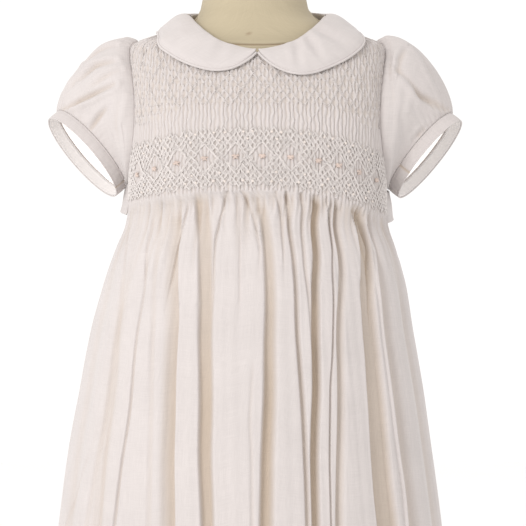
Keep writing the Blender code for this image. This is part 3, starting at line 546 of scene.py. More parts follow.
def solid_rings(name, rings, material, fold=None, uv=None):
    """A closed solid from rings of points, with flat ends."""
    rows, count = rings.shape[:2]
    uv = grid_uv(rings) if uv is None else uv
    fold = np.zeros(rows * count) if fold is None else fold.ravel()
    return make_mesh(name, rings.reshape(-1, 3), capped_faces(rows, count), uv.reshape(-1, 2),
                     fold, material)


def tube_along(path, radius, sides=4, closed=False, taper=False):
    """Points and faces of a round thread along a path of points."""
    path = np.asarray(path, float)
    count = len(path)
    along = (np.roll(path, -1, 0) - np.roll(path, 1, 0)) if closed else np.gradient(path, axis=0)
    along = unit(along, TINY)
    ref = np.where(np.abs(along[:, 1:2]) > 0.9, [[1.0, 0, 0]], [[0, 1.0, 0]])
    side = unit(np.cross(along, ref))
    up = np.cross(side, along)
    turn = full_turn(sides)[None, :, None]
    radius = np.broadcast_to(radius, count).copy()
    if taper:
        radius[[0, -1]] *= THREAD_END
    points = path[:, None] + radius[:, None, None] * (np.cos(turn) * side[:, None]
                                                      + np.sin(turn) * up[:, None])
    row = np.arange(count if closed else count - 1)[:, None]
    here, after = np.arange(sides)[None], (np.arange(sides)[None] + 1) % sides
    near, far = row * sides, ((row + 1) % count) * sides
    faces = np.stack([near + here, near + after, far + after, far + here], axis=-1)
    faces = faces.reshape(-1, 4).tolist()
    if not closed:
        faces.append(list(range(sides))[::-1])
        faces.append([(count - 1) * sides + k for k in range(sides)])
    return points.reshape(-1, 3), faces


class Bundle:
    """Many small shapes gathered into one object."""

    def __init__(self):
        self.points, self.faces, self.count = [], [], 0

    def add(self, points, faces):
        """One more shape."""
        self.points.append(np.asarray(points, float))
        self.faces += [[i + self.count for i in face] for face in faces]
        self.count += len(points)

    def make(self, name, material):
        """The object."""
        return make_mesh(name, np.concatenate(self.points), self.faces, material=material)


def riding(piece, slot, *nodes):
    """Rides on the dress's one body and stands for its CAD nodes; the finish slot it is given is
    not used.
    """
    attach(piece, "root")
    if nodes:
        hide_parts(*nodes)
    return piece


def dress_piece(node, grid, thickness=THIN_CLOTH, turn_over=False, fold=None, **look):
    """Dress cloth from the grid of its outer face, in place of a CAD node."""
    if turn_over:
        grid = grid[:, ::-1]
        fold = None if fold is None else fold[:, ::-1]
    piece = shell(f"{node}_cloth", grid, thickness, DRESS, fold=fold, **look)
    return riding(piece, "dress_cloth", node)


# ---- materials ------------------------------------------------------------
def feed(tree, node, inputs):
    """Gives a node's inputs their values, or links them to other nodes' outputs."""
    for key, value in inputs.items():
        if hasattr(value, "is_output"):
            tree.links.new(value, node.inputs[key])
        else:
            node.inputs[key].default_value = value


def linked(tree, kind, inputs=None, out=0, **settings):
    """An output of a new shader node with its settings and inputs."""
    node = tree.nodes.new("ShaderNode" + kind)
    for key, value in settings.items():
        setattr(node, key, value)
    feed(tree, node, inputs or {})
    return node.outputs[out]


def noise(tree, where, scale, detail, **more):
    """Cloudy noise at a place."""
    return linked(tree, "TexNoise", {"Vector": where, "Scale": scale, "Detail": detail, **more})


def between(tree, value, low, high, to_low=0.0, to_high=1.0):
    """A value carried from one range to another."""
    return linked(tree, "MapRange", {"Value": value, "From Min": low, "From Max": high,
                                     "To Min": to_low, "To Max": to_high})


def blend(tree, share, first, second):
    """Colour between two colours."""
    return linked(tree, "Mix", {"Factor": share, 6: (*first, 1), 7: (*second, 1)}, 2,
                  data_type="RGBA")


def new_material(name):
    """A material, its nodes and its shader."""
    made = bpy.data.materials.new(name)
    made.use_nodes = True
    return made, made.node_tree, made.node_tree.nodes["Principled BSDF"]


def cloth_material(name, light, shade_and_mark_colour, weave_mm=0.55, slub=0.06, bump=0.25, sheen=0.25,
                   from_uv=True, roughness=0.88, painted_glow=0.0):
    """Plain-woven cloth: crossing threads, slubs, and painted shade, a warmer, darker colour down
    in the folds where the fold share is high (on the form's linen, its seam and pin-hole marks
    instead); with an optional painted glow.
    """
    made, tree, shader = new_material(name)
    where = linked(tree, "TexCoord", out="UV" if from_uv else "Object")
    fine, coarse = 1 / weave_mm * 1000, 60          # to a metre, across a thread and along it
    ways = [linked(tree, "Mapping", {"Vector": where, "Scale": scale})
            for scale in ((fine, coarse, coarse), (coarse, fine, coarse))]
    warp, weft = [noise(tree, way, 1.0, 2.0, Roughness=0.6) for way in ways]
    threads = linked(tree, "Math", {0: warp, 1: weft}, operation="ADD")
    # Painted shade: the fold attribute mixes the colour towards a warmer, darker one down in folds,
    # creases and sunk seams; on the form's linen it marks the seam and the pin hole.
    colour_with_shade_and_marks = blend(tree, linked(tree, "Attribute", out="Fac", attribute_name="fold"), light, shade_and_mark_colour)
    slubs = between(tree, threads, 0.7, 1.3, 1 - slub, 1 + slub)
    cloudy = between(tree, noise(tree, where, 26.0, 3.0), 0.3, 0.7, 0.975, 1.02)
    strength = linked(tree, "Math", {0: slubs, 1: cloudy}, operation="MULTIPLY")
    # Emission Strength makes a painted glow where it is above 0.
    feed(tree, shader, {
        "Base Color": linked(tree, "VectorMath", {0: colour_with_shade_and_marks, "Scale": strength}, operation="SCALE"),
        "Normal": linked(tree, "Bump", {"Height": threads, "Strength": bump,
                                        "Distance": 0.0002}),
        "Roughness": roughness, "Sheen Weight": sheen, "Sheen Roughness": 0.6,
        "Specular IOR Level": 0.15, "Emission Color": (1.0, 0.985, 0.98, 1),
        "Emission Strength": painted_glow})
    return made


def wood_material(name, light, dark):
    """Beech with fine grain lines that run up the piece."""
    made, tree, shader = new_material(name)
    place = linked(tree, "TexCoord", out="Object")
    warp = linked(tree, "TexNoise", {"Vector": place, "Scale": 5.0, "Detail": 3.0}, "Color")
    bent = linked(tree, "VectorMath", {0: warp, 1: (0.03, 0.03, 0.03)}, operation="MULTIPLY")
    moved = linked(tree, "VectorMath", {0: place, 1: bent}, operation="ADD")
    flat = linked(tree, "Mapping", {"Vector": moved, "Scale": (160, 26, 7)})
    grain = noise(tree, flat, 1.0, 4.0, Roughness=0.65)
    feed(tree, shader, {
        "Base Color": blend(tree, between(tree, grain, 0.35, 0.68), light, dark),
        "Normal": linked(tree, "Bump", {"Height": grain, "Strength": 0.15, "Distance": 0.0003}),
        "Roughness": 0.42})
    return made


def pearl_material(name, light, dark):
    """Polished shell with soft clouds."""
    made, tree, shader = new_material(name)
    cloud = noise(tree, linked(tree, "TexCoord", out="Object"), 260.0, 2.0)
    feed(tree, shader, {"Base Color": blend(tree, cloud, light, dark),
                        "Roughness": 0.22, "Coat Weight": 0.4})
    return made


THREAD_LOOK = {"weave_mm": 0.3, "bump": 0.1, "from_uv": False}
# Each cloth's second colour is painted shade, used down in its folds and creases (on the linen, the
# colour of its seam and pin-hole marks).
DRESS = cloth_material("dress_cloth_look", (0.545, 0.502, 0.487), (0.46, 0.375, 0.295))
# The threads are the cloth's colour made lighter: painted highlight for the light that the raised
# threads catch.
THREAD_WITH_HIGHLIGHT = cloth_material("smocking_thread_with_highlight", (0.66, 0.612, 0.588), (0.6, 0.52, 0.45),
                        slub=0.03, sheen=0.3, roughness=0.75, **THREAD_LOOK)
KNOT = cloth_material("knot_thread", (0.64, 0.575, 0.53), (0.6, 0.52, 0.45),
                      slub=0.03, sheen=0.2, roughness=0.75, **THREAD_LOOK)
ROSE = cloth_material("rose_thread", (0.575, 0.465, 0.408), (0.46, 0.35, 0.3),
                      slub=0.05, sheen=0.3, roughness=0.55, **THREAD_LOOK)
# Inside faces of sleeves and cuffs glow: painted light for the light shining through the thin
# cloth; the sleeve's inside is also a much lighter copy of the cloth's colour.
SLEEVE_INSIDE_GLOW = cloth_material("sleeve_inside_painted_glow", (0.86, 0.845, 0.84), (0.8, 0.77, 0.75), painted_glow=0.5)
CUFF_INSIDE_GLOW = cloth_material("cuff_inside_painted_glow", (0.55, 0.515, 0.50), (0.5, 0.45, 0.42), painted_glow=0.2)
LINEN = cloth_material("form_linen_look", (0.445, 0.38, 0.265), (0.28, 0.20, 0.13), weave_mm=0.7,
                       slub=0.05, bump=0.12, sheen=0.15)
WOOD = wood_material("stand_wood_look", (0.46, 0.31, 0.18), (0.33, 0.20, 0.105))
PEARL = pearl_material("button_pearl", (0.72, 0.69, 0.65), (0.62, 0.60, 0.585))


# ---- smocked front --------------------------------------------------------
# Levels of the smocking: 0 is the neck, 1 to 5 are the front's level lines.
SMOCK_PLEATS = 92
PER_PLEAT = 6
SMOCK_ROWS = (10, 22, 10, 24, 24)      # rows of points between the level lines
SKIRT_ROWS = 104
SKIRT_COLUMNS = 440
RIB = 1.45                 # height of a smocked pleat
OVER_RIB = RIB * 0.93      # height at which threads lie over the pleats
THREAD_DIP = 0.42          # how much lower they lie between them
LEAN = 0.10                # how far pleats lean, as a share of a pleat
PINCH = 0.42               # share of its height that a pleat loses at a stitch
# Sideways swings of the lines between pleats, in pleats.
BAND_SWING, TOP_SWING = 0.30, 0.50     # from stitch to stitch of the band and the upper rows
TOP_RIPPLE = 0.16
STRAY, OWN_STRAY = 0.13, 0.16          # slow wandering down a line, and from line to line
LOOSE_STRAY, LOOSE_RIPPLE, LOOSE_ZIGZAG = 0.16, 0.10, 0.27      # more where no rows hold them
ROSE_DRAW = 0.48           # pulled towards a rose
CELL = 6.6                 # height of one honeycomb cell of the band
TOP_CELL = 9.0             # height of a cell of the upper rows
NECK_FRONT_Z = 724.5
BAND_MIDDLE = 26.0         # from the band's top down to its row of roses
BAND_TALL = 53.0
DIAMOND = 11.5             # half height of the large diamonds round the roses
ROSE_LEVEL = 4.0
DIAMOND_INSET = 0.3        # pleats between a diamond's corner and half way to the next rose
HEM_TALL = 18.0
FOLD_HALF_WAY = 0.45       # share of the way down where a fold line's middle depth holds
FOLD_FADE_ABOVE = 6.0      # distances over which a fold line fades past its ends
FOLD_FADE_BELOW = 18.0
STEEPEST_WALL = 0.46       # least width of a fold's wall for each mm of its depth
CARRIED_ON = 400           # fold lines that reach below this go on to the hem
# Roses of the band, (x, z) as seen from the front.
ROSES_SEEN = [(-101, 617), (-86.5, 622.5), (-67.6, 629.2), (-44.6, 638.5), (-19.1, 640.3),
              (3.8, 640.3), (28.5, 640.3), (51.4, 640.3), (68.4, 636), (85.4, 625.8), (99.9, 618)]


def even_angles(count):
    """Angles from side seam to side seam, evenly spaced along the cloth."""
    fine = np.linspace(-90, 90, 3601)
    length = run_length(body_point(fine, np.full(len(fine), 650.0), CLOTH))
    return np.interp(np.linspace(0, length[-1], count), length, fine), length[-1]


PLEAT_EDGES, CHEST_ARC = even_angles(SMOCK_PLEATS * PER_PLEAT + 1)
EDGE_NUMBERS = np.arange(len(PLEAT_EDGES))


def pleat_angle(pleat):
    """Angle of a pleat number."""
    return np.interp(pleat * PER_PLEAT, EDGE_NUMBERS, PLEAT_EDGES)


def pleat_at(angle):
    """Pleat number at an angle."""
    return np.interp(angle, PLEAT_EDGES, EDGE_NUMBERS / PER_PLEAT)


def level_mm(level):
    """Distance down the middle of the front, in mm, at a level."""
    z = [NECK_FRONT_Z] + [line.middle for line in FRONT_LEVELS]
    return NECK_FRONT_Z - np.interp(level, range(6), z)


def in_band(level):
    """1 in the band, which lies between levels 3 and 5, and 0 outside."""
    return clamp((level - 3.0) / 0.12) * clamp((5.02 - level) / 0.1)


def pleat_ridge(pleat):
    """Rounded section of a pleat, from 0 between pleats to 1 on top."""
    return clamp(arch(pleat)) ** 0.75


def pleat_height(pleat, level):
    """Height of the smocked cloth at a pleat number and a level."""
    number, down = np.floor(pleat), level_mm(level)
    phase = pleat - number
    phase = clamp(phase + LEAN * np.sin(number * 2.7 + down * 0.11) * arch(phase))
    wobble = 0.86 + 0.16 * smooth_noise(number * 31.7 + down, 5, 15.0)
    wobble = wobble + 0.14 * np.sin(number * 1.9) * np.sin(number * 0.73 + 1)
    top = clamp((top_end(number) + 0.02 - level) / 0.06) * clamp(level / 0.2)
    wobble = wobble - PINCH * top * top_touch(number, level)
    pinch = 1 - PINCH * in_band(level) * honeycomb_touch(pleat, level)
    return RIB * (pleat_ridge(phase) * wobble * pinch) * (0.35 + 0.65 * clamp(level / 0.35))


def top_end(number):
    """Level at which the upper pattern ends; it reaches lower toward the armholes."""
    return 2.0 + 0.62 * clamp((np.abs(number - SMOCK_PLEATS / 2) - 17) / 12)


def top_touch(number, level):
    """1 where a pleat of the upper rows is stitched to its neighbour, 0 between."""
    swing = triangle_wave(level_mm(level) / TOP_CELL + (number % 2) * 0.5)
    return clamp(np.abs(swing) * 2.2 - 1.3)


def honeycomb_touch(pleat, level):
    """1 where a pleat is stitched to its neighbour in the band, 0 between."""
    side = np.floor(pleat) % 2
    return clamp(-triangle_wave(level_mm(level) / CELL + side / 2) * 1.6 - 0.4)


def line_swing(number, level):
    """Sideways swing of the line between two pleats, in pleats."""
    down = level_mm(level)
    turn = (number % 2) * 0.5
    top = clamp((top_end(number) - level) / 0.1) * clamp(level / 0.4)
    loose = clamp((level - 1.9) / 0.2) * clamp((3.1 - level) / 0.15)
    drift = (STRAY + LOOSE_STRAY * loose) * smooth_noise(down + number * 17.3, 11, 13.0)
    drift = drift + LOOSE_RIPPLE * loose * np.sin(down * 0.45 + number * 1.9)
    zigzag = triangle_wave(down / 11.0 + turn + 0.12 * np.sin(number * 0.9))
    drift = drift + LOOSE_ZIGZAG * loose * zigzag
    drift = drift + OWN_STRAY * np.sin(number * 1.3) * np.sin(number * 0.61 + 2.0)
    closed = 1 - flower_diamond(number + 0.5, level)
    return (BAND_SWING * in_band(level) * closed * triangle_wave(down / CELL + turn)
            + TOP_SWING * top * np.clip(1.6 * triangle_wave(down / TOP_CELL + turn), -1, 1)
            + TOP_RIPPLE * top * np.sin(down * 1.1 + number * 2.3) + drift)


def pleat_sway(pleat, level):
    """Sideways swing of a pleat, in pleats, as its stitches and the roses pull it."""
    lower = np.floor(pleat - 0.5)
    share = pleat - 0.5 - lower
    off = rose_offset(pleat)[0]
    y = level_mm(level) - level_mm(ROSE_LEVEL)
    pull = -ROSE_DRAW * off * bell(y / 3.6) * bell(off / 1.9)
    return line_swing(lower, level) * (1 - share) + line_swing(lower + 1, level) * share + pull


def rose_offset(pleat):
    """Pleats from the nearest rose, and the pleats from rose to rose there."""
    pleat = np.asarray(pleat, float)
    nearest = np.argmin(np.abs(pleat[..., None] - ROSE_PLEATS), axis=-1)
    off = pleat - ROSE_PLEATS[nearest]
    other = np.clip(nearest + np.where(off > 0, 1, -1), 0, len(ROSE_PLEATS) - 1)
    gap = np.abs(ROSE_PLEATS[other] - ROSE_PLEATS[nearest])
    return off, np.where(gap < 1, 7.0, gap)


def flower_diamond(pleat, level):
    """1 inside the large diamonds that frame the roses, 0 outside."""
    along = (level_mm(level) - level_mm(ROSE_LEVEL)) / DIAMOND
    off, gap = rose_offset(pleat)
    return clamp((1.0 - np.abs(along) - np.abs(off) / (gap / 2 - DIAMOND_INSET)) * 6)


def level_height(level, angle):
    """Height of the cloth's level lines."""
    lines = np.stack([neckline_z(angle)] + [level_z(line, angle) for line in FRONT_LEVELS])
    low = np.clip(np.floor(level).astype(int), 0, 4)
    share = level - low
    picks = np.arange(lines.shape[1])
    return lines[low, picks] * (1 - share) + lines[low + 1, picks] * share


def smock_point(pleat, level, out=0.0, over=False):
    """Point on the smocked cloth, or just over its pleats, out by a distance."""
    pleat, level = np.broadcast_arrays(np.asarray(pleat, float), np.asarray(level, float))
    shape = pleat.shape
    pleat, level = pleat.ravel(), level.ravel()
    angle = pleat_angle(np.clip(pleat + pleat_sway(pleat, level), 0, SMOCK_PLEATS))
    z = level_height(level, angle)
    side = np.where(angle < 0, -1.0, 1.0)
    cut = armhole_cut(z, side, ARMHOLE_CUT_FRONT)
    past = 90 - np.abs(angle) - cut
    beside = cut + np.where(past > 1.5, past, 1.5 * np.exp((past - 1.5) / 1.5))
    at_edge = np.clip((np.minimum(pleat, SMOCK_PLEATS - pleat) - 0.5) / 2, 0.15, 1)
    at_edge = at_edge * np.where(cut > 0.5, np.clip(past / 3 + 0.2, 0.1, 1), 1)
    if over:
        dip = THREAD_DIP * np.cos(math.pi * (pleat - np.floor(pleat))) ** 2
        rib = (OVER_RIB - dip) * at_edge
    else:
        rib = pleat_height(pleat, level) * at_edge
    out = np.broadcast_to(np.asarray(out, float), shape).ravel()
    return body_point(side * (90 - beside), z, CLOTH + rib + out).reshape(*shape, 3)


def beyond_armhole(pleat, level):
    """How far a place lies inside the armhole's edge, in degrees; less than 0 is past it."""
    pleat, level = np.broadcast_arrays(np.atleast_1d(pleat).astype(float), np.asarray(level, float))
    angle = pleat_angle(pleat)
    cut = armhole_cut(level_height(level, angle), np.where(angle < 0, -1.0, 1.0),
                      ARMHOLE_CUT_FRONT)
    return np.where(cut > 0.5, 90 - np.abs(angle) - cut, 90 - np.abs(angle) + 2)


# Short creases below the smocking, in pleats across and mm down.
GATHER_EDGE = 1.5
GATHER_GAP = (0.6, 1.9)                # least and most from crease to crease
GATHER_DRIFT = 0.012
# For each, the least and how much more there can be.
GATHER_LENGTH, GATHER_DEPTH, GATHER_WIDTH = (20, 75), (1.1, 2.2), (0.34, 0.22)
SHALLOW_UP_TO, SHALLOW = 38, 0.72      # shallower on the left


def random_gathers():
    """Short creases that run down from the smocking: place, drift, length, depth, width."""
    rng = np.random.RandomState(12)
    made = []
    place = GATHER_EDGE
    while place < SMOCK_PLEATS - GATHER_EDGE:
        deep = 1.0 if place > SHALLOW_UP_TO else SHALLOW
        made.append((place, rng.uniform(-GATHER_DRIFT, GATHER_DRIFT),
                     GATHER_LENGTH[0] + GATHER_LENGTH[1] * rng.rand() ** 1.6,
                     deep * (GATHER_DEPTH[0] + GATHER_DEPTH[1] * rng.rand()),
                     GATHER_WIDTH[0] + GATHER_WIDTH[1] * rng.rand()))
        place += rng.uniform(*GATHER_GAP)
    return made


GATHERS = random_gathers()


def gather_height(pleat, down):
    """Pleats let go below the smocking, the short creases between them, and the painted shade in
    those creases and between the pleats.
    """
    number = np.floor(pleat)
    ridge = pleat_ridge(pleat - number)
    fading = np.exp(-down / (9 + 20 * half_wave(number * 2.4 + 1.1) ** 2))
    total = RIB * ridge * fading
    creases = np.zeros(np.shape(total))
    for place, drift, reach, depth, width in GATHERS:
        off = (pleat - place - drift * down) / (width * (1 + 0.012 * down))
        grow = clamp(down / 7) * (1 - clamp(down / reach)) ** 1.3
        total -= depth * grow * (bell(off)
                                 - 0.25 * bell((np.abs(off) - 1.9) / 0.8))
        # Painted shade down in the creases, and between the pleats below.
        creases += depth * grow * bell(off * 1.2)
    soft = half_wave(pleat * 0.83 + 0.6 * np.sin(pleat * 0.31))
    total += 1.1 * soft * clamp(down / 30) * np.exp(-down / 110)
    creases += 1.3 * clamp(0.5 - ridge) * fading
    return total, creases


# Folds of the skirt as seen from the front: depth at the gathers, half way and
# at the hem; widths of the left wall, the floor and the right wall at the top
# and at the hem; and the places (x, z) where the left wall starts.
FoldLine = namedtuple("FoldLine", "name depth left floor right places")
FOLD_LINES = [FoldLine(*row) for row in (
    ("centre", (3, 6.8, 6.6), (2.4, 2.9), (3.0, 4.2), (6.0, 9.3), [(-1.3, 594), (1.3, 582), (3.8,
     563), (5.1, 535), (4.7, 488), (4.2, 450), (2.8, 412), (1.5, 375), (0.6, 327)]),
    ("left of centre", (3, 6.2, 5.4), (2.4, 2.9), (7.8, 4.2), (4.6, 6.0), [(-54.8, 602), (-53.1,
     589), (-51.4, 563), (-51.1, 507), (-51.0, 450), (-51.6, 394), (-49.7, 338)]),
    ("left middle", (2.5, 5, 5), (11.9, 13.6), (1.7, 1.7), (1.9, 2.1), [(-77.8, 589), (-79.5, 568),
     (-81.2, 544), (-82.0, 492), (-84.6, 450), (-86.3, 394), (-86.3, 330)]),
    ("long slanted line", (0.8, 2.2, 1.6), (1.3, 1.4), (0.7, 0.8), (2.5, 2.5), [(-89.7, 589),
     (-91.0, 578), (-97.6, 526), (-106.0, 473), (-110.7, 422), (-118.2, 375), (-123.8, 327)]),
    ("soft beside it", (1.2, 1.2, 1.0), (3.4, 4.2), (0.8, 0.8), (3.4, 4.2), [(-85.4, 598), (-88.8,
     551), (-92.2, 492), (-93.9, 432), (-95.6, 364), (-96.5, 330)]),
    ("left low slant", (0, 0.2, 2.0), (1.7, 1.7), (0.8, 0.8), (5.1, 6.0), [(-127.9, 449), (-133.9,
     422), (-142.4, 394), (-153.4, 364), (-162.8, 334)]),
    ("left low soft", (0, 1.0, 1.4), (2.5, 3.4), (0.8, 0.8), (4.2, 5.1), [(-116.9, 517), (-123.7,
     449), (-132.2, 390), (-137.3, 330)]),
    ("left upper soft", (1.0, 1.2, 0.8), (2.5, 3.4), (0.8, 0.8), (4.2, 5.1), [(-107.5, 589),
     (-112.6, 551), (-120.3, 500), (-129.6, 432), (-140.7, 372), (-147.5, 330)]),
    ("panel ridge line", (0, 1.0, 1.4), (1.7, 1.7), (0.7, 0.8), (2.5, 2.5), [(-6.4, 458), (-7.6,
     436), (-8.5, 417), (-7.2, 384), (-6.8, 330)]),
    ("right thin line", (3, 4, 3), (1.3, 1.4), (0.6, 0.7), (3.4, 4.2), [(22.5, 606), (24.6, 582),
     (29.3, 544), (31.0, 507), (33.1, 469), (35.9, 431), (38.7, 375), (40.4, 327)]),
    ("deep right", (6, 7.4, 6.0), (2.1, 2.4), (2.8, 2.8), (2.4, 3.0), [(46.3, 602), (45.9, 560),
     (45.0, 526), (45.3, 488), (45.8, 450), (44.6, 412), (44.2, 375), (45.5, 327)]),
    ("narrow pair line", (2.2, 2.4, 2.0), (1.0, 1.1), (0.4, 0.5), (1.1, 1.2), [(57.8, 606), (60.3,
     582), (62.1, 544), (62.9, 487), (60.8, 440), (60.3, 394), (60.8, 356), (61.6, 327)]),
    ("beside bright ridge", (4, 4, 4), (1.3, 1.4), (0.8, 0.8), (6.8, 7.6), [(65.0, 602), (66.4,
     563), (66.7, 507), (67.1, 450), (66.7, 394), (65.9, 338)]),
    ("broad right", (4, 5, 6), (1.7, 1.9), (7.6, 22.1), (4.2, 5.1), [(80.3, 604), (82.8, 589),
     (84.6, 563), (86.3, 526), (89.3, 488), (92.1, 450), (94.8, 412), (97.8, 366), (101.6, 327)]),
    ("bright slanted ridge", (-1.5, -2.8, -2.8), (2.5, 3.0), (0.3, 0.4), (1.7, 1.9), [(90.5, 598),
     (93.9, 575), (98.2, 544), (103.7, 507), (109.2, 460), (114.1, 422), (119.4, 384), (123.4,
     356), (125.4, 327)]),
    ("gather left", (2.5, 0, 0), (1.0, 1.0), (0.5, 0.5), (1.7, 1.7), [(-26.8, 612), (-30.2, 598),
     (-33.6, 583), (-37.0, 568), (-38.2, 549), (-38.7, 526)]),
    ("gather middle", (1.4, 0, 0), (1.0, 1.0), (0.5, 0.5), (1.7, 1.7), [(-16.6, 606), (-16.1, 576),
     (-16.6, 542), (-16.6, 517)]),
    ("gather right of deep", (3, 0, 0), (1.3, 1.3), (0.8, 0.8), (2.5, 2.5), [(35.3, 608), (36.8,
     594), (37.8, 554), (43.4, 507), (45.5, 479)]),
    ("gather far right", (2.2, 0, 0), (1.0, 1.0), (0.5, 0.5), (1.9, 1.9), [(87.1, 602), (89.7,
     581), (92.2, 549), (94.8, 517)]),
    ("gather far left", (2.0, 0, 0), (1.0, 1.0), (0.5, 0.5), (1.9, 1.9), [(-60.8, 598), (-64.2,
     583), (-69.3, 564), (-74.4, 538)]),
    ("gather left of centre", (2.0, 0, 0), (1.0, 1.0), (0.5, 0.5), (1.9, 1.9), [(-14.0, 609),
     (-8.9, 597), (-3.8, 582), (0.4, 560)]),
    ("gather right thin", (2.0, 0, 0), (1.0, 1.0), (0.5, 0.5), (1.9, 1.9), [(14.0, 610), (16.6,
     597), (19.1, 582), (20.8, 558)]))]


def angle_seen(x_seen, z_seen):
    """Angle and height of the front's cloth at a place seen by the camera."""
    y = -100.0
    fine = np.linspace(-88, 88, 1409)
    slope = math.tan(math.atan2(z_seen - AIM_Z, CAMERA_REACH) - CAMERA_DIP)
    for _ in range(4):
        z = CAMERA_Z + slope * (CAMERA_AWAY + y)
        line = body_point(fine, np.full(len(fine), z), CLOTH)
        depth = ((CAMERA_AWAY + line[:, 1]) * math.cos(CAMERA_DIP)
                 - (z - CAMERA_Z) * math.sin(CAMERA_DIP))
        seen = CAMERA_X + (line[:, 0] - CAMERA_X) * CAMERA_REACH / depth
        angle = float(np.interp(x_seen, seen, fine))
        y = float(np.interp(angle, fine, line[:, 1]))
    return angle, z


ROSE_PLEATS = pleat_at([angle_seen(x, z)[0] for x, z in ROSES_SEEN])


def fold_path(line):
    """Heights (upwards) and angles of a fold line, carried on to the hem."""
    angles, heights = map(list, zip(*[angle_seen(x, z) for x, z in line.places[::-1]]))
    slope = (angles[1] - angles[0]) / (heights[1] - heights[0])
    if heights[0] < CARRIED_ON:
        angles = [angles[0] - 0.6 * slope * (heights[0] - HEM_Z)] + angles
        heights = [HEM_Z] + heights
    return np.array(heights), np.array(angles)


FOLD_PATHS = [fold_path(line) for line in FOLD_LINES]


def front_folds(angle, z, down_share):
    """How far the front of the skirt lies in at its folds, and nearness to a fold."""
    fine = np.linspace(-90, 90, 721)
    length = run_length(body_point(fine, np.full(len(fine), float(z)), CLOTH))
    at = np.interp(angle, fine, length)
    total = np.zeros(len(angle))
    near = np.zeros(len(angle))
    for fold, (heights, angles) in zip(FOLD_LINES, FOLD_PATHS):
        where = float(np.interp(float(smooth_curve(z, heights, angles)), fine, length))
        top, middle, foot = fold.depth
        depth = top + (middle - top) * min(1, down_share / FOLD_HALF_WAY)
        depth += (foot - middle) * max(0, (down_share - FOLD_HALF_WAY) / (1 - FOLD_HALF_WAY))
        if z > heights[-1]:
            depth *= math.exp(-(z - heights[-1]) / FOLD_FADE_ABOVE)
        if z < heights[0]:
            depth *= math.exp(-(heights[0] - z) / FOLD_FADE_BELOW)
        wide = min(1.0, down_share)
        left, floor, right = [w[0] + (w[1] - w[0]) * wide
                              for w in (fold.left, fold.floor, fold.right)]
        left, right = [max(wall, STEEPEST_WALL * abs(depth)) for wall in (left, right)]
        t = at - where
        total += depth * (ramp(t / left) * (1 - ramp((t - left - floor) / right)))
        near += min(1.0, abs(depth) / 1.5) * (
            bell((t - left / 2) / 3.0)
            + bell((t - left - floor - right / 2) / 3.5))
    return total, near


def soft_fold(fold, angle, z, down):
    """Depth of a soft fold at a share of the way down, and distance across from it."""
    at = smooth_curve(z, FOLD_HEIGHTS, [fold.at_hem, fold.at_400, fold.at_500, fold.at_580])
    apart = (angle - at + 180) % 360 - 180
    depth = fold.top_depth + (fold.hem_depth - fold.top_depth) * down
    return depth, np.radians(apart) * body_radius(z)


def side_folds(angle, z, waist):
    """Soft folds towards the side seams, which the front view hardly shows."""
    down = clamp((waist - z) / (waist - HEM_Z))
    fade = 0.2 + 0.8 * clamp(down / 0.2)
    total = np.zeros(np.broadcast(angle, z).shape)
    for fold in SIDE_FOLDS:
        depth, across = soft_fold(fold, angle, z, down)
        width = fold.half_width * (0.8 + 0.5 * down) / 1.1
        total += depth * 0.6 * fade * bell(across / width)
    return total


def back_folds(angle, z, waist):
    """Folds of the skirt's back; a valley is a little steeper on its left."""
    down = clamp((waist - z) / (waist - HEM_Z))
    fade = 0.3 + 0.7 * clamp(down / 0.10)
    total = np.zeros(np.broadcast(angle, z).shape)
    for fold in SIDE_FOLDS + BACK_FOLDS:
        depth, across = soft_fold(fold, angle, z, down)
        way = across / (fold.half_width * (0.7 + 0.5 * down) / 1.3)
        way = np.where(way < 0, way * 1.35, way * 0.85)
        total += 1.12 * depth * fade * np.exp(-np.abs(way) ** 1.9)
    return total


def crowd(angles, weight):
    """The same count of angles, moved closer together where the weight is large."""
    density = 1 + weight
    total = np.cumsum((density[1:] + density[:-1]) / 2 * np.diff(angles))
    total = np.concatenate([[0], total])
    return np.interp(np.linspace(0, total[-1], len(angles)), total, angles)


def front_skirt_grid():
    """Outer face of the front skirt and its painted shade shares, in its folds and creases."""
    even = np.interp(np.linspace(0, SMOCK_PLEATS * PER_PLEAT, SKIRT_COLUMNS + 1),
                     EDGE_NUMBERS, PLEAT_EDGES)
    hem_even = np.linspace(-90, 90, SKIRT_COLUMNS + 1)
    waist = FRONT_LEVELS[-1]
    points, painted_shade_shares = [], []
    for s in np.linspace(0, 1, SKIRT_ROWS) ** 1.25:
        start = even + (hem_even - even) * min(1.0, s * 2.0)
        z_middle = waist.middle * (1 - s) + HEM_Z * s
        near = front_folds(start, z_middle, s)[1]
        spread = crowd(start, 1.7 * np.clip(near, 0, 1.5) * min(1.0, s * 6))
        top = level_z(waist, spread)
        z = top - (top - HEM_Z) * s
        edge = clamp(np.minimum(spread + 90, 90 - spread) / 4.0)
        fold = front_folds(spread, z_middle, s)[0]
        soft = side_folds(spread, z, top)
        small, creases = gather_height(pleat_at(spread), top - z)
        drift = 0.8 * smooth_noise(spread * 1.3 + z * 0.012, 21, 31.0) * clamp((top - z) / 60)
        fine_drift = smooth_noise(spread * 4.0 + z * 0.05, 8, 17.0) * clamp((top - z) / 40)
        drift = drift + 0.25 * fine_drift
        out = CLOTH + small * edge + drift * edge - (fold + soft) * edge
        points.append(body_point(spread, z, out))
        # Painted shade, darker and warmer in the fold valleys and in the gathers' creases.
        painted_shade_shares.append(clamp((fold + 0.6 * soft) / 7.0 - 0.03 + creases * edge / 4.5))
    return np.array(points), np.array(painted_shade_shares)


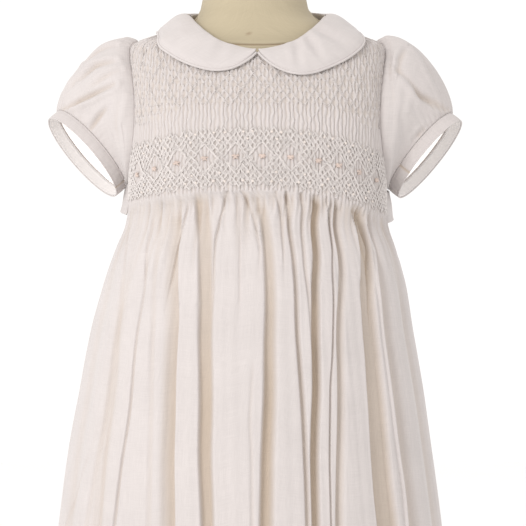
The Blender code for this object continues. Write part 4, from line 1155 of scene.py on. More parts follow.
def build_front_cloth():
    """Smocked front and its skirt in one cloth, with a narrow hem turned inside."""
    columns = np.arange(SMOCK_PLEATS * PER_PLEAT + 1) / PER_PLEAT
    levels = np.concatenate([np.arange(n) / n + i for i, n in enumerate(SMOCK_ROWS)] + [[5.0]])
    pleat, level = np.meshgrid(columns, levels)
    grid = smock_point(pleat, level)
    # Painted shade, as fold share: between the pleats, stronger in the upper rows, and in the
    # band's pits at its stitches outside the large diamonds.
    smock_painted_shade = clamp(0.85 - 1.15 * pleat_height(pleat, level) / RIB) * 0.3
    stitched = clamp((level - 3.05) / 0.08) * clamp((4.97 - level) / 0.06)
    stitched = 0.03 * stitched * (1 - flower_diamond(pleat, level))
    smock_painted_shade = clamp(smock_painted_shade * (1 + 0.7 * clamp((2.6 - level) / 0.5)) + stitched)
    # The skirt's depth here is its painted shade share.
    skirt, depth = [part[1:] for part in front_skirt_grid()]
    for part in (grid, skirt):
        part[:, [0, -1], 1] -= SEAM / 2
    coarse, fine = [np.degrees(np.arctan2(row[:, 0], -row[:, 1])) for row in (skirt[0], grid[-1])]
    coarse = np.interp(coarse, fine, columns)
    edge, normal = skirt[-1], grid_normals(skirt[-3:])[-1]
    hem = [edge - normal * CLOTH * 0.5 - [0, 0, 0.5], edge - normal * CLOTH,
           edge - normal * CLOTH + [0, 0, HEM_TALL]]
    first, wide = grid.shape[0] * grid.shape[1], skirt.shape[1]
    faces = grid_faces(*grid.shape[:2]) + grid_faces(*skirt.shape[:2], first)
    faces += lace_faces(columns, range(first - len(columns), first),
                        coarse, range(first, first + wide))
    faces += grid_faces(len(hem) + 1, wide, first + (len(skirt) - 1) * wide)
    uv_top, uv_low = grid_uv(grid), grid_uv(skirt)
    uv_low[..., 1] += uv_top[-1, :, 1].mean()
    uv = [uv_low[-1] + [0, -2.0 * (k + 1)] for k in range(len(hem))]
    return make_mesh("front_cloth",
                     np.concatenate([grid.reshape(-1, 3), skirt.reshape(-1, 3)] + hem), faces,
                     np.concatenate([uv_top.reshape(-1, 2), uv_low.reshape(-1, 2)] + uv),
                     np.concatenate([smock_painted_shade.ravel(), depth.ravel()] + [depth[-1]] * len(hem)),
                     DRESS)


riding(build_front_cloth(), "dress_cloth", "dress_front")


# ---- smocking threads -----------------------------------------------------
LINE_GAP = 1.2             # pleats between parallel threads of the band
LINE_DROP = 5.0            # distance that a thread goes down for each pleat
BAND_THREAD = 0.33         # half thickness of a thread
OUTLINE_THREAD = 0.34
TOP_THREAD = 0.21
ZIGZAG = 6.0               # pleats in one zigzag of the upper rows
TOP_ROWS = (0.34, 1.137, 1.57, 2.0)    # levels of the upper zigzags
STITCH_ROWS = 24
BLOB_GRID = (7, 12)        # rings of a knot, and points round each
# Toothed top and foot of the band: inset and depth of the teeth, their pitch and shift.
TOP_TEETH, FOOT_TEETH = (0.6, 4.0, 14.2, 0.1), (0.3, 3.4, 13.4, 0.6)
STRAND_GAP = 0.115         # half the gap between double threads, in pleats
# Knots: place beside the middle between two roses, and distance down the band.
KNOT_PLACES = ((-4.0, 6.5), (4.0, 6.5), (0, 12.5), (0, 39.0), (-4.2, 45.5), (4.2, 45.5))
# Bars of a rose: turn in degrees, reach and half thickness.
ROSE_BARS = ((4, 3.3, 0.66), (176, 3.3, 0.66), (38, 2.9, 0.6), (142, 2.9, 0.6),
             (-36, 2.9, 0.6), (-144, 2.9, 0.6), (90, 1.7, 0.55), (-90, 1.7, 0.55))
ROSE_LIFT = 0.45


def band_level(down):
    """Level (3 to 5) at a distance down from the top of the band."""
    return np.interp(down, [0, BAND_MIDDLE, BAND_TALL], [3.0, ROSE_LEVEL, 5.0])


def add_thread(bundle, pleat, level, radius, lift=0.0):
    """One thread laid over the pleats; it dips between them."""
    path = smock_point(pleat, level, lift + radius * 0.75, over=True)
    bundle.add(*tube_along(path, radius, 4, taper=True))


def runs_of(keep, shortest):
    """(start, end) of each stretch of true values."""
    edges = np.flatnonzero(np.diff(np.concatenate([[0], keep.astype(int), [0]])))
    return [(a, b) for a, b in zip(edges[::2], edges[1::2]) if b - a >= shortest]


def toothed(pleat, inset, depth, pitch, shift):
    """How far the band's saw-toothed edge lies in from the band's limit."""
    wave = triangle_wave(pleat * CHEST_ARC / SMOCK_PLEATS / pitch + shift)
    return inset + depth * ((1 - wave) / 2)


def build_band_threads():
    """Crossing double threads of the band, left open inside the large diamonds."""
    bundle = Bundle()
    rng = np.random.RandomState(5)
    down = np.arange(0, BAND_TALL + 0.1, LINE_DROP / 3)
    level = band_level(down)
    skew = BAND_TALL / LINE_DROP
    for way in (1, -1):
        for first in np.arange(-skew if way > 0 else 0,
                               SMOCK_PLEATS + (0 if way > 0 else skew), LINE_GAP):
            pleat = first + way * down / LINE_DROP
            keep = (pleat > 1.2) & (pleat < SMOCK_PLEATS - 1.2)
            keep &= down > toothed(pleat, *TOP_TEETH)
            keep &= down < BAND_TALL - toothed(pleat, *FOOT_TEETH)
            keep &= beyond_armhole(pleat, level) > 0.8
            keep &= flower_diamond(pleat, level) <= 0.55
            for a, b in runs_of(keep, 3):
                wander = 0.07 * rng.standard_normal(b - a)
                for strand in (-1, 1):
                    offset = strand * STRAND_GAP + wander + 0.02 * rng.standard_normal(b - a)
                    add_thread(bundle, pleat[a:b] + offset, level[a:b],
                               BAND_THREAD * (0.9 + 0.2 * rng.rand()),
                               lift=0.05 if way > 0 else -0.12)
    return bundle.make("band_threads", THREAD_WITH_HIGHLIGHT)


def build_diamond_outlines():
    """Thicker double threads round the large diamonds."""
    bundle = Bundle()
    t = np.linspace(0, 1, 18)
    for centre in rose_places():
        half = float(rose_offset(np.array([centre + 0.01]))[1][0]) / 2 - DIAMOND_INSET
        for x_way, y_way in ((-1, -1), (-1, 1), (1, -1), (1, 1)):
            level = band_level(BAND_MIDDLE + y_way * DIAMOND * (1 - t))
            for strand in (-0.13, 0.13):
                pleat = centre + x_way * half * t + strand
                keep = (pleat > 1) & (pleat < SMOCK_PLEATS - 1)
                if keep.sum() > 4:
                    add_thread(bundle, pleat[keep], level[keep], OUTLINE_THREAD, lift=0.1)
    return bundle.make("diamond_threads", THREAD_WITH_HIGHLIGHT)


def build_top_threads():
    """Zigzag threads of the upper rows, and the small stitch at each pinched pair of pleats."""
    bundle = Bundle()
    rng = np.random.RandomState(8)
    pleat = np.arange(2.0, SMOCK_PLEATS - 2, 0.5)
    for row, (upper, lower) in enumerate(zip(TOP_ROWS, TOP_ROWS[1:])):
        swing = (1 - triangle_wave(pleat / ZIGZAG + 0.5 * (row % 2))) / 2
        for drop in (0.0, 0.075):
            level = upper + drop + (lower - upper) * (0.02 + 0.92 * swing)
            level = level + 0.010 * rng.standard_normal(len(level))
            for a, b in runs_of(beyond_armhole(pleat, level) > 0.6, 4):
                add_thread(bundle, pleat[a:b], level[a:b], TOP_THREAD)
    level_lines = NECK_FRONT_Z - np.array([NECK_FRONT_Z] + [f.middle for f in FRONT_LEVELS[:3]])
    for row in range(STITCH_ROWS):
        down = 3.0 + row * TOP_CELL / 3
        for number in np.arange(2 + row % 2, SMOCK_PLEATS - 2, 2):
            level = float(np.interp(down + rng.uniform(-0.6, 0.6), level_lines, range(4)))
            if level > top_end(number) - 0.02:
                continue
            here = number + 0.5 + rng.uniform(-0.1, 0.1)
            if beyond_armhole(here, level)[0] > 0.8:
                reach = rng.uniform(0.32, 0.5)
                across = np.linspace(-reach, reach, 4)
                tilt = rng.uniform(-0.03, 0.03) * np.linspace(-1, 1, 4)
                add_thread(bundle, here + across, level + tilt, TOP_THREAD)
    return bundle.make("trellis_threads", THREAD_WITH_HIGHLIGHT)


def rose_places():
    """Pleat numbers of the roses' middles."""
    return [float(p) for p in ROSE_PLEATS if 2 < p < SMOCK_PLEATS - 2]


def frame_at(pleat, level):
    """Place on top of the smocking with its across, up and outward directions."""
    # The place, and one a little to its right and one a little below it.
    here, side, down = smock_point(pleat + np.array([0, 0.5, 0]),
                                   level + np.array([0, 0, 0.05]), over=True)
    side, down = side - here, down - here
    side[2] = 0
    across = unit(side)
    out = unit(np.cross(down, across))
    if np.dot(out, here * [1, 1, 0]) < 0:
        out = -out
    up = np.cross(out, across)
    return here, (across, -up if up[2] < 0 else up, out)


def blob(centre, axes, sizes, seed, wraps=0.0):
    """Points and faces of a small rounded knot."""
    rings, count = BLOB_GRID
    turn = full_turn(count)
    start = np.random.RandomState(seed).rand() * 6
    points = []
    for tilt in np.linspace(-78, 78, rings):
        t = math.radians(tilt)
        wide = math.cos(t) * (1 + wraps * np.sin(3 * turn + start + tilt * 0.06))
        points.append(from_axes(centre, axes, sizes[0] * wide * np.cos(turn),
                                sizes[1] * wide * np.sin(turn),
                                np.full(count, sizes[2] * math.sin(t))))
    return np.concatenate(points), capped_faces(rings, count)


def build_knots():
    """Small raised knots in clusters between the roses."""
    bundle = Bundle()
    rng = np.random.RandomState(3)
    places = np.array(rose_places())
    seed = 0
    for centre in (places[1:] + places[:-1]) / 2:
        for x, down in KNOT_PLACES:
            pleat = centre + (x + rng.uniform(-0.6, 0.6)) * (SMOCK_PLEATS / CHEST_ARC)
            here, axes = frame_at(pleat, float(band_level(down + rng.uniform(-0.6, 0.6))))
            size = rng.uniform(0.95, 1.2)
            seed += 1
            bundle.add(*blob(here + axes[2] * 0.5, axes, (size * 1.15, size, size * 0.75),
                             seed, wraps=0.12))
    return bundle.make("smocking_knots", KNOT)


def build_roses():
    """Bullion roses: wrapped bars that spread like a bow from a knot."""
    bundle = Bundle()
    rng = np.random.RandomState(17)
    number = np.arange(12)
    share = np.linspace(0.08, 1, len(number))
    wraps = 1 + 0.14 * np.sin(number * 2.2)
    ends = np.clip(np.minimum(number + 2, number[::-1]) / 2.0, 0.45, 1)
    for rose, place in enumerate(rose_places()):
        here, axes = frame_at(place, ROSE_LEVEL)
        across, up, out = axes
        here = here + out * ROSE_LIFT
        for turn, reach, thick in ROSE_BARS:
            way = math.radians(turn + rng.uniform(-9, 9))
            reach = reach * rng.uniform(0.88, 1.08)
            bend = 0.25 * arch(share) * rng.choice([-1, 1])
            path = from_axes(here, axes,
                             reach * share * math.cos(way) - bend * math.sin(way),
                             reach * share * math.sin(way) + bend * math.cos(way),
                             0.55 * arch(0.25 + 0.75 * share))
            bundle.add(*tube_along(path, thick * wraps * ends, 8))
        for turn in range(3):
            way = turn * 2.1 + rng.rand()
            middle = (here + across * 0.55 * math.cos(way) + up * 0.5 * math.sin(way)
                      + out * 0.75)
            bundle.add(*blob(middle, axes, (0.75, 0.65, 0.5), 100 + rose * 3 + turn, wraps=0.1))
    return bundle.make("smocking_roses", ROSE)


for threads in (build_band_threads(), build_diamond_outlines(), build_top_threads(), build_knots()):
    riding(threads, "dress_cloth")
riding(build_roses(), "smocking_rose")


# ---- back of the dress ----------------------------------------------------
# Columns and rows of points of each surface.
BACK_SKIRT_GRID = (420, 104)
BACK_HALF_GRID = (60, 16)              # rows between two level lines
LAP_COLUMNS, LAP_EASE_COLUMNS = 12, 6
SLEEVE_GRID = (280, 84)
CUFF_COLUMNS = 220
SASH_ROWS, TAIL_ROWS, LOOP_ROWS = 110, 90, 120
KNOT_GRID = (72, 48)
BUST_COLUMNS, STAND_COLUMNS, BASE_COLUMNS = 160, 96, 160
BUTTON_COLUMNS = 72
WELT_COLUMNS = 240


def back_skirt_grid():
    """Outer face of the gathered back skirt and its painted shade as shares, darker the deeper each
    point lies.
    """
    angles = np.linspace(90, 270, BACK_SKIRT_GRID[0] + 1)
    number = np.arange(len(angles))
    near_edge = clamp(np.minimum(number, number[::-1]) / 10.0)
    pleat = np.linspace(0.2, SMOCK_PLEATS - 0.2, len(angles))
    top = level_z(BACK_LEVELS[-1], angles) - SEAM
    points, painted_shade_shares = [], []
    for s in np.linspace(0, 1, BACK_SKIRT_GRID[1]) ** 1.2:
        z = top - (top - HEM_Z) * s
        down = top - z
        fold = back_folds(angles, z, top)
        small = gather_height(pleat, down)[0] * near_edge
        drift = 0.7 * smooth_noise(angles * 3.0 + z * 0.02, 21, 31.0) * clamp(down / 60)
        points.append(body_point(angles, z, CLOTH + small - fold + drift * near_edge))
        # Painted shade in the folds, less on the gathers' ridges.
        painted_shade_shares.append(clamp((fold - 0.6 * small) / 7.5))
    points = np.array(points)
    points[:, [0, -1], 1] += SEAM / 2
    return points, np.array(painted_shade_shares)


def between_levels(upper, lower, share, angle):
    """Height a share of the way down from one level line, or the neck, to the next."""
    top = level_z(upper, angle) if upper else neckline_z(angle)
    return top + (level_z(lower, angle) - top) * share


def back_half_grid(side, over):
    """Outer face of half of the back bodice; its lap closes over the other half."""
    columns, rows = BACK_HALF_GRID
    lap_x = np.concatenate([
        np.linspace(PLACKET_LAP, -PLACKET_LAP - 1, LAP_COLUMNS),
        np.linspace(-PLACKET_LAP - 1, -PLACKET_LAP - 7, LAP_EASE_COLUMNS)[1:]])
    lift = np.concatenate([np.ones(LAP_COLUMNS), np.linspace(1, 0, LAP_EASE_COLUMNS)[1:],
                           np.zeros(columns)])
    lift = lift * (CLOTH + SEAM) * over
    steps = np.linspace(0, 1, columns + 1)[1:]
    grid = []
    for upper, lower in zip([None] + BACK_LEVELS, BACK_LEVELS):
        for k in range(rows + (lower is BACK_LEVELS[-1])):
            middle_z = float(between_levels(upper, lower, k / rows, np.array(180.0)))
            lap = 180 + np.array([float(angle_at_x(x, middle_z)) for x in lap_x])
            angle = side * np.concatenate([lap, lap[-1] + (90 - lap[-1]) * steps])
            z = between_levels(upper, lower, k / rows, angle)
            beside = np.abs(angle) - 90
            cut = armhole_cut(z, side, ARMHOLE_CUT_BACK)
            close = np.where(beside < SIDE_ZONE,
                             cut + beside * (SIDE_ZONE - cut) / SIDE_ZONE, beside)
            moved = np.where(np.abs(angle) < 180, side * (90 + close), angle)
            ease = 0.35 * smooth_noise(angle * 2.1 + z * 0.03, 3, 13.0)
            ease = ease * clamp((180 - np.abs(angle)) / 12)
            points = body_point(moved, z, CLOTH + lift + ease)
            points[-1, 1] += SEAM / 2
            grid.append(points)
    return np.array(grid)


back_skirt, back_skirt_painted_shade = back_skirt_grid()
dress_piece("back_skirt", back_skirt, fold=back_skirt_painted_shade)
dress_piece("back_right", back_half_grid(1, 0), CLOTH)
dress_piece("back_left", back_half_grid(-1, 1), CLOTH)


# ---- sleeves and cuffs ----------------------------------------------------
# Creases of a sleeve: places (x, z) as seen from the front, depth and half width of
# the valley, and height of the ridge beside it, on the upper (1) or lower (-1) side.
Crease = namedtuple("Crease", "places depth width ridge side")
SLEEVE_CREASES = {
    -1: [Crease(*row) for row in (
        ([(-165.3, 678.5), (-149.2, 687), (-125.4, 699), (-122, 700.6)], 3.6, 2.5, 2.9, -1),
        ([(-150.9, 704.9), (-138.1, 715.9), (-122, 719.3)], 2.9, 2.7, 2.0, 1),
        ([(-141.5, 662.4), (-133, 674.3), (-129, 680)], 3.0, 2.4, 1.7, 1),
        ([(-121, 733), (-136, 728), (-146, 719)], 1.9, 2.4, 1.4, 1),
        ([(-117, 712), (-130, 706), (-143, 697)], 1.8, 2.3, 1.4, 1),
        ([(-116, 690), (-120, 668), (-118, 650)], 1.2, 2.8, 0.8, -1),
        ([(-160, 697), (-152, 706)], 1.4, 2.6, 0.8, 1))],
    1: [Crease(*row) for row in (
        ([(126, 731), (122, 722), (120, 712)], 2.1, 2.8, 1.5, 1),
        ([(120, 712.5), (139, 691), (162, 677.7)], 3.3, 3.0, 2.4, -1),
        ([(139.2, 686.5), (150, 680), (158.7, 675)], 1.3, 2.2, 0.8, -1),
        ([(134, 653.5), (142.5, 662.5)], 1.6, 2.6, 0.9, 1),
        ([(113, 716), (115, 690), (113, 655)], 1.0, 3.0, 0.8, 1),
        ([(138, 728), (146, 713), (152, 700)], 1.0, 3.4, 0.8, -1),
        ([(126, 700), (122, 675), (124, 655)], 0.8, 3.4, 0.6, -1),
        ([(110, 735), (113, 722), (112, 706)], 0.9, 2.4, 0.6, 1))]}
SLEEVE_PLEATS = 40
SLEEVE_RIB = 1.15          # height of the gathers by the cuff
HEAD_RIB = 0.55            # and by the armhole, as a share of that
# Share of the sleeve's length that a gather runs: the least, and how much more.
HEAD_REACH, CUFF_REACH = (0.10, 0.16), (0.10, 0.20)
SLEEVE_WAVES, SLEEVE_WAVE_DEPTH = 9, 0.9       # soft waves round the sleeve
CUFF_SEAMS = {-1: (-122.0, 614.0), 1: (126.0, 627.0)}      # (x, z) as seen from the front


def seen_from_camera(points):
    """Places (x, z) at which the camera sees points, in mm in the dress's middle plane."""
    back = points[..., 1] + CAMERA_AWAY
    rise = points[..., 2] - CAMERA_Z
    depth = back * math.cos(CAMERA_DIP) - rise * math.sin(CAMERA_DIP)
    up = back * math.sin(CAMERA_DIP) + rise * math.cos(CAMERA_DIP)
    return np.stack([CAMERA_X + (points[..., 0] - CAMERA_X) * CAMERA_REACH / depth,
                     AIM_Z + up * CAMERA_REACH / depth], axis=-1)


def nearest_on_path(grid, normal, path):
    """Distance from a path to each point, the same with a sign, and how far along it."""
    starts = run_length(path)
    best = np.full(grid.shape[:2], 1e9)
    off, reach = np.zeros(grid.shape[:2]), np.zeros(grid.shape[:2])
    for k, run in enumerate(np.linalg.norm(np.diff(path, axis=0), axis=1)):
        way = (path[k + 1] - path[k]) / max(run, 1e-6)
        rel = grid - path[k]
        t = np.clip(rel @ way, 0, run)
        gap = rel - t[..., None] * way
        distance = np.linalg.norm(gap, axis=-1)
        across = np.cross(normal, way)
        sign = np.sign(np.sum(across * gap, axis=-1)) * np.sign(across[..., 2] + 1e-9)
        nearer = distance < best
        best = np.where(nearer, distance, best)
        off = np.where(nearer, sign * distance, off)
        reach = np.where(nearer, (starts[k] + t) / starts[-1], reach)
    return best, off, reach


def crease_lift(side, grid, normal):
    """How far the sleeve stands out (or in) at its creases, in front and, alike, behind, and the
    depth of their valleys, which sets the painted shade there.
    """
    seen = seen_from_camera(grid)
    hidden = np.where(normal[..., 1] > -0.05, 1e6, 0.0)
    rows, around = grid.shape[:2]
    total, valley = np.zeros((rows, around)), np.zeros((rows, around))
    for number, crease in enumerate(SLEEVE_CREASES[side]):
        at = []
        for place in crease.places:
            away = np.sum((seen - np.array(place)) ** 2, axis=-1) + hidden
            at.append(np.unravel_index(int(np.argmin(away)), away.shape))
        mirrored = [(min(rows - 1, r + 2 * (number % 3) - 1),
                     (around - c + 5 * (number % 4)) % around) for r, c in at]
        for spots, share in ((at, 1.0), (mirrored, 0.75)):
            path = np.array([grid[max(0, r), c] for r, c in spots])
            best, off, reach = nearest_on_path(grid, normal, path)
            taper = arch(clamp(0.12 + 0.76 * reach)) ** 0.8
            dip = bell(best / crease.width)
            hump = off * crease.side - 1.9 * crease.width
            hump = bell(hump / (1.1 * crease.width))
            total += share * taper * (crease.ridge * hump - crease.depth * dip)
            valley += share * taper * crease.depth * dip
    return total, valley


def build_sleeve_cloth(sleeve):
    """Puffed sleeve with gathers at both ends, soft waves and its creases."""
    count, rows = SLEEVE_GRID
    around = full_turn(count)
    even = np.linspace(0, 1, rows)
    shares = 0.5 * (0.5 - 0.5 * np.cos(even * math.pi)) + 0.5 * even
    grid = sleeve_surface(sleeve, around, shares)
    near = (shares ** 3)[:, None, None]
    normal = tube_normals(grid) * (1 - near) + cuff_spokes(sleeve, around) * near
    length = np.minimum(1, np.linalg.norm(grid[-1] - grid[0], axis=1) / LONG_SIDE)
    phase = around / (2 * math.pi) * SLEEVE_PLEATS + 0.35 * np.sin(around * 5 + sleeve.side)
    ridge = np.abs(arch(phase)) ** 0.7
    number = np.floor(phase)
    reach_head = HEAD_REACH[0] + HEAD_REACH[1] * half_wave(number * 2.1 + sleeve.side)
    reach_cuff = CUFF_REACH[0] + CUFF_REACH[1] * half_wave(number * 1.7 + 0.6 + sleeve.side)
    s = shares[:, None]
    head = np.exp(-s / reach_head) * clamp(s / 0.015) * (0.15 + 0.85 * length)
    cuff = np.exp(-(1 - s) / reach_cuff) * clamp((1 - s) / 0.012) * (0.3 + 0.7 * length)
    small = SLEEVE_RIB * ridge[None] * (HEAD_RIB * head + cuff)
    wide = SLEEVE_WAVE_DEPTH * np.sin(around * SLEEVE_WAVES + 2.0 * s + sleeve.side)
    wide = wide * arch(s) ** 0.8 * length
    creased, dip = crease_lift(sleeve.side, grid, normal)
    out = small + wide * 0.6 + creased * clamp(np.minimum(s, 1 - s) / 0.06) + 0.2
    grid = grid + normal * (out * clamp(np.minimum(s / 0.02, (1 - s) / 0.01)))[..., None]
    # Painted shade in the creases' valleys and between the gathers by the cuff.
    fold = clamp(dip / 6.0 - 0.1 + 0.25 * (1 - ridge[None]) * cuff)
    # The sleeve's inside faces take the painted glow.
    dress_piece(f"sleeve_{HAND[sleeve.side]}", grid, turn_over=sleeve.side < 0, fold=fold,
                closed=True, inside=SLEEVE_INSIDE_GLOW)


# The cuff's section: distance across the band, and how far it stands out there.
CUFF_SECTION = [(-0.45, -0.6), (0.1, 0.3), (0.7, 0.55), (1.2, 0.5), (1.5, 0.28), (1.8, 0.5),
                (2.3, 0.65), (3.5, 0.7), (5.5, 0.7), (7.5, 0.68), (8.6, 0.6), (9.1, 0.45),
                (9.4, 0.25), (9.7, 0.45), (10.2, 0.55), (10.6, 0.45), (10.9, 0.25), (11.0, 0)]
CUFF_MIDDLE = 8            # its row in the middle of the band


def build_cuff_cloth(sleeve):
    """Band with a folded edge, a sunk line of stitching near each side and a sunk seam."""
    around = full_turn(CUFF_COLUMNS)
    grid = []
    for across, swell in CUFF_SECTION:
        back = CUFF_WIDTH - across
        ripple = 0.16 * smooth_noise(around * 20, 9, 11.0) + 0.10 * np.sin(around * 31 + back * 0.4)
        grid.append(cuff_ring(sleeve, around, back, -0.15 - swell * 0.75 - ripple * swell))
    grid = np.array(grid)
    middle = grid[CUFF_MIDDLE]
    apart = np.linalg.norm(seen_from_camera(middle) - np.array(CUFF_SEAMS[sleeve.side]), axis=1)
    apart = apart + np.where(middle[:, 1] > 2, 99.0, 0.0)
    joined = bell((np.arange(len(around)) - int(np.argmin(apart))) / 0.9)
    inward = unit(grid.mean(axis=1, keepdims=True) - grid)
    grid = grid + inward * 0.5 * joined[None, :, None]
    # Painted shade along the sunk seam through the fold share; the band's inside faces take the
    # painted glow.
    dress_piece(f"cuff_{HAND[sleeve.side]}", grid, CLOTH, turn_over=sleeve.side < 0,
                fold=np.broadcast_to(0.9 * joined, grid.shape[:2]), closed=True,
                inside=CUFF_INSIDE_GLOW)


for one_sleeve in SLEEVES:
    build_sleeve_cloth(one_sleeve)
    build_cuff_cloth(one_sleeve)


# ---- collar ---------------------------------------------------------------
COLLAR_FINE = np.concatenate([np.linspace(0.35, 3, 9)[:-1], np.linspace(3, 18, 24)[:-1],
                              np.linspace(18, 157, 90)[:-1], np.linspace(157, 176.5, 26)])
PIPING = 1.12              # radius of the cord along the collar's edge
# Soft wrinkles of the collar: side, place near the neck and place near the edge as
# seen from the front, depth of the trough, half width.
Wrinkle = namedtuple("Wrinkle", "side inner outer depth width")
COLLAR_WRINKLES = [
    Wrinkle(1, (44.0, 738.0), (55.0, 722.0), 1.7, 3.0),
    Wrinkle(1, (52.0, 746.0), (66.0, 738.0), 1.5, 3.2),
    Wrinkle(1, (33.0, 734.0), (35.5, 716.0), 1.2, 3.4),
    Wrinkle(1, (62.0, 744.0), (77.0, 732.0), 0.9, 4.2),
    Wrinkle(-1, (-27.0, 738.0), (-36.0, 722.0), 0.9, 4.2),
    Wrinkle(-1, (-54.0, 748.0), (-70.0, 738.0), 0.9, 4.2)]


def wrinkled(side, grid, normal):
    """How far the collar lies lower or higher at its wrinkles."""
    seen = seen_from_camera(grid)
    total = np.zeros(grid.shape[:2])
    for mark in [m for m in COLLAR_WRINKLES if m.side == side]:
        start, end = np.array(mark.inner), np.array(mark.outer)
        run = np.linalg.norm(end - start)
        way = (end - start) / run
        rel = seen - start
        t = np.clip(rel @ way, 0, run)
        across = rel[..., 0] * way[1] - rel[..., 1] * way[0]
        beyond = np.linalg.norm(rel - t[..., None] * way, axis=-1)
        fade = arch(clamp(0.25 + 0.65 * t / run))
        total -= mark.depth * fade * bell(beyond / mark.width)
        beside = bell((np.abs(across) - 1.8 * mark.width) / mark.width)
        beside = beside * bell(np.clip(beyond - 2.6 * mark.width, 0, None) / 1.5)
        total += 0.6 * mark.depth * fade * beside
    return total * (normal[..., 1] < 0.2)


def collar_grid(side, shares, extra):
    """Grid of a collar half from the neck to shares of its width."""
    rows = []
    for share in shares:
        z = np.array([down_from_neck(a, share * collar_width(a, side)) for a in COLLAR_FINE])
        wave = 0.35 * smooth_noise(COLLAR_FINE, 31 + side, 37.0) * share ** 1.5
        rows.append(body_point(side * COLLAR_FINE, z,
                               collar_lift(share, COLLAR_FINE) + extra + wave))
    return np.array(rows)


# Places across the collar, as shares, and how far it stands out there; it is sunk
# along the line of stitching by its edge.
COLLAR_SHARES = np.concatenate([np.linspace(0, 0.9, 26), [0.925, 0.945, 0.96, 0.975, 0.99, 1.0]])
COLLAR_SWELL = np.interp(COLLAR_SHARES, [0, 0.05, 0.9, 0.925, 0.945, 0.96, 1.0],
                         [0, 0.25, 0.25, 0.2, 0.02, 0.2, 0.15])
PIPING_COLUMNS = 12


def build_collar_cloth(side):
    """Collar half with a stitched line inside its edge, and the piping along it."""
    grid = collar_grid(side, COLLAR_SHARES, CLOTH)
    normal = grid_normals(grid)
    if np.sum(normal[..., 1][:, :10]) > 0:
        normal = -normal
    calm = clamp((1 - COLLAR_SHARES) / 0.12) * clamp(COLLAR_SHARES / 0.04)
    out = COLLAR_SWELL[:, None] + (0.7 + wrinkled(side, grid, normal)) * calm[:, None]
    dress_piece(f"collar_{HAND[side]}", grid + normal * out[..., None], CLOTH,
                turn_over=side < 0)
    within, edge = collar_grid(side, [0.9, 1.0], CLOTH / 2)
    along = unit(np.gradient(edge, axis=0))
    away = edge - within
    away = unit(away - along * np.sum(away * along, axis=1, keepdims=True))
    up = np.cross(along, away)
    rings = np.stack([edge + away * 1.0 + (away * math.cos(t) + up * math.sin(t)) * PIPING
                      for t in full_turn(PIPING_COLUMNS)], axis=1)
    round_cord, down_cord = np.meshgrid(np.arange(PIPING_COLUMNS) * 0.6,
                                        np.arange(len(edge)) * 1.3)
    cord = solid_rings(f"collar_piping_{HAND[side]}_cord", rings, DRESS,
                       uv=np.stack([round_cord, down_cord], axis=-1))
    riding(cord, "dress_cloth", f"collar_piping_{HAND[side]}")


for which_side in (-1, 1):
    build_collar_cloth(which_side)


# ---- sash, bow and buttons ------------------------------------------------
ACROSS = np.linspace(-1, 1, 33)        # from edge to edge of a band


def build_sash_cloth(side):
    """Half of the sash, from its side seam to the knot."""
    start_z = SASH_START_Z[side]
    rows = []
    for share in np.linspace(0, 1, SASH_ROWS):
        ease = share * share * (3 - 2 * share)
        out = SASH_OUT + CLOTH + 1.6 * ease + 0.8 * (1 - ACROSS ** 2) * min(1, 4 * share)
        pull = 0.5 * clamp(share * 1.6 - 0.4) * np.sin(ACROSS * 9 + 2.5 * share)
        out = out + pull + 0.15 * np.sin(ACROSS * 4 + share * 13)
        flare = math.sin(math.pi * min(1.0, share / 0.30)) ** 1.2
        out = out - 1.6 * max(0.0, 1 - share / 0.03) + (4.6 - 2.0 * ACROSS) * flare
        z = start_z + (KNOT_Z - start_z) * ease + ACROSS * (SASH_WIDTH / 2 - 4.5 * ease ** 2)
        angle = side * np.full(len(ACROSS), SASH_START + (SASH_END - SASH_START) * share)
        rows.append(body_point(angle, z, out))
    dress_piece(f"sash_{HAND[side]}", np.array(rows), turn_over=side > 0)


def build_tail_cloth(hand, table, slant):
    """Tail of the bow, cut off at a slant."""
    heights = [p.z for p in table][::-1]
    rows = []
    for share in np.linspace(0, 1, TAIL_ROWS):
        z_mid = table[0].z + (table[-1].z - table[0].z) * share
        x, out, half = [float(smooth_curve(z_mid, heights, [getattr(p, n) for p in table][::-1]))
                        for n in ("x", "out", "half_width")]
        z = z_mid + slant * ACROSS * clamp((share - 0.75) / 0.25)
        angle = np.array([180 + float(angle_at_x(x + a * half, h)) for a, h in zip(ACROSS, z)])
        wrinkle = 0.5 * np.sin(ACROSS * 7 + 1.5 * share) * (1 - share) ** 1.5
        rows.append(body_point(angle, z, out + CLOTH + 1 - ACROSS ** 2 + wrinkle))
    dress_piece(f"bow_tail_{hand}", np.array(rows))


def smooth_path(values, at):
    """Values of a smooth curve through every point, at places counted in points."""
    values = np.array(values, float)
    low = np.clip(np.floor(at).astype(int), 0, len(values) - 2)
    t = at - low
    p = np.concatenate([[2 * values[0] - values[1]], values, [2 * values[-1] - values[-2]]])
    a, b, c, d = p[low], p[low + 1], p[low + 2], p[low + 3]
    return 0.5 * (2 * b + (c - a) * t + (2 * a - 5 * b + 4 * c - d) * t ** 2
                  + (3 * b - a - 3 * c + d) * t ** 3)


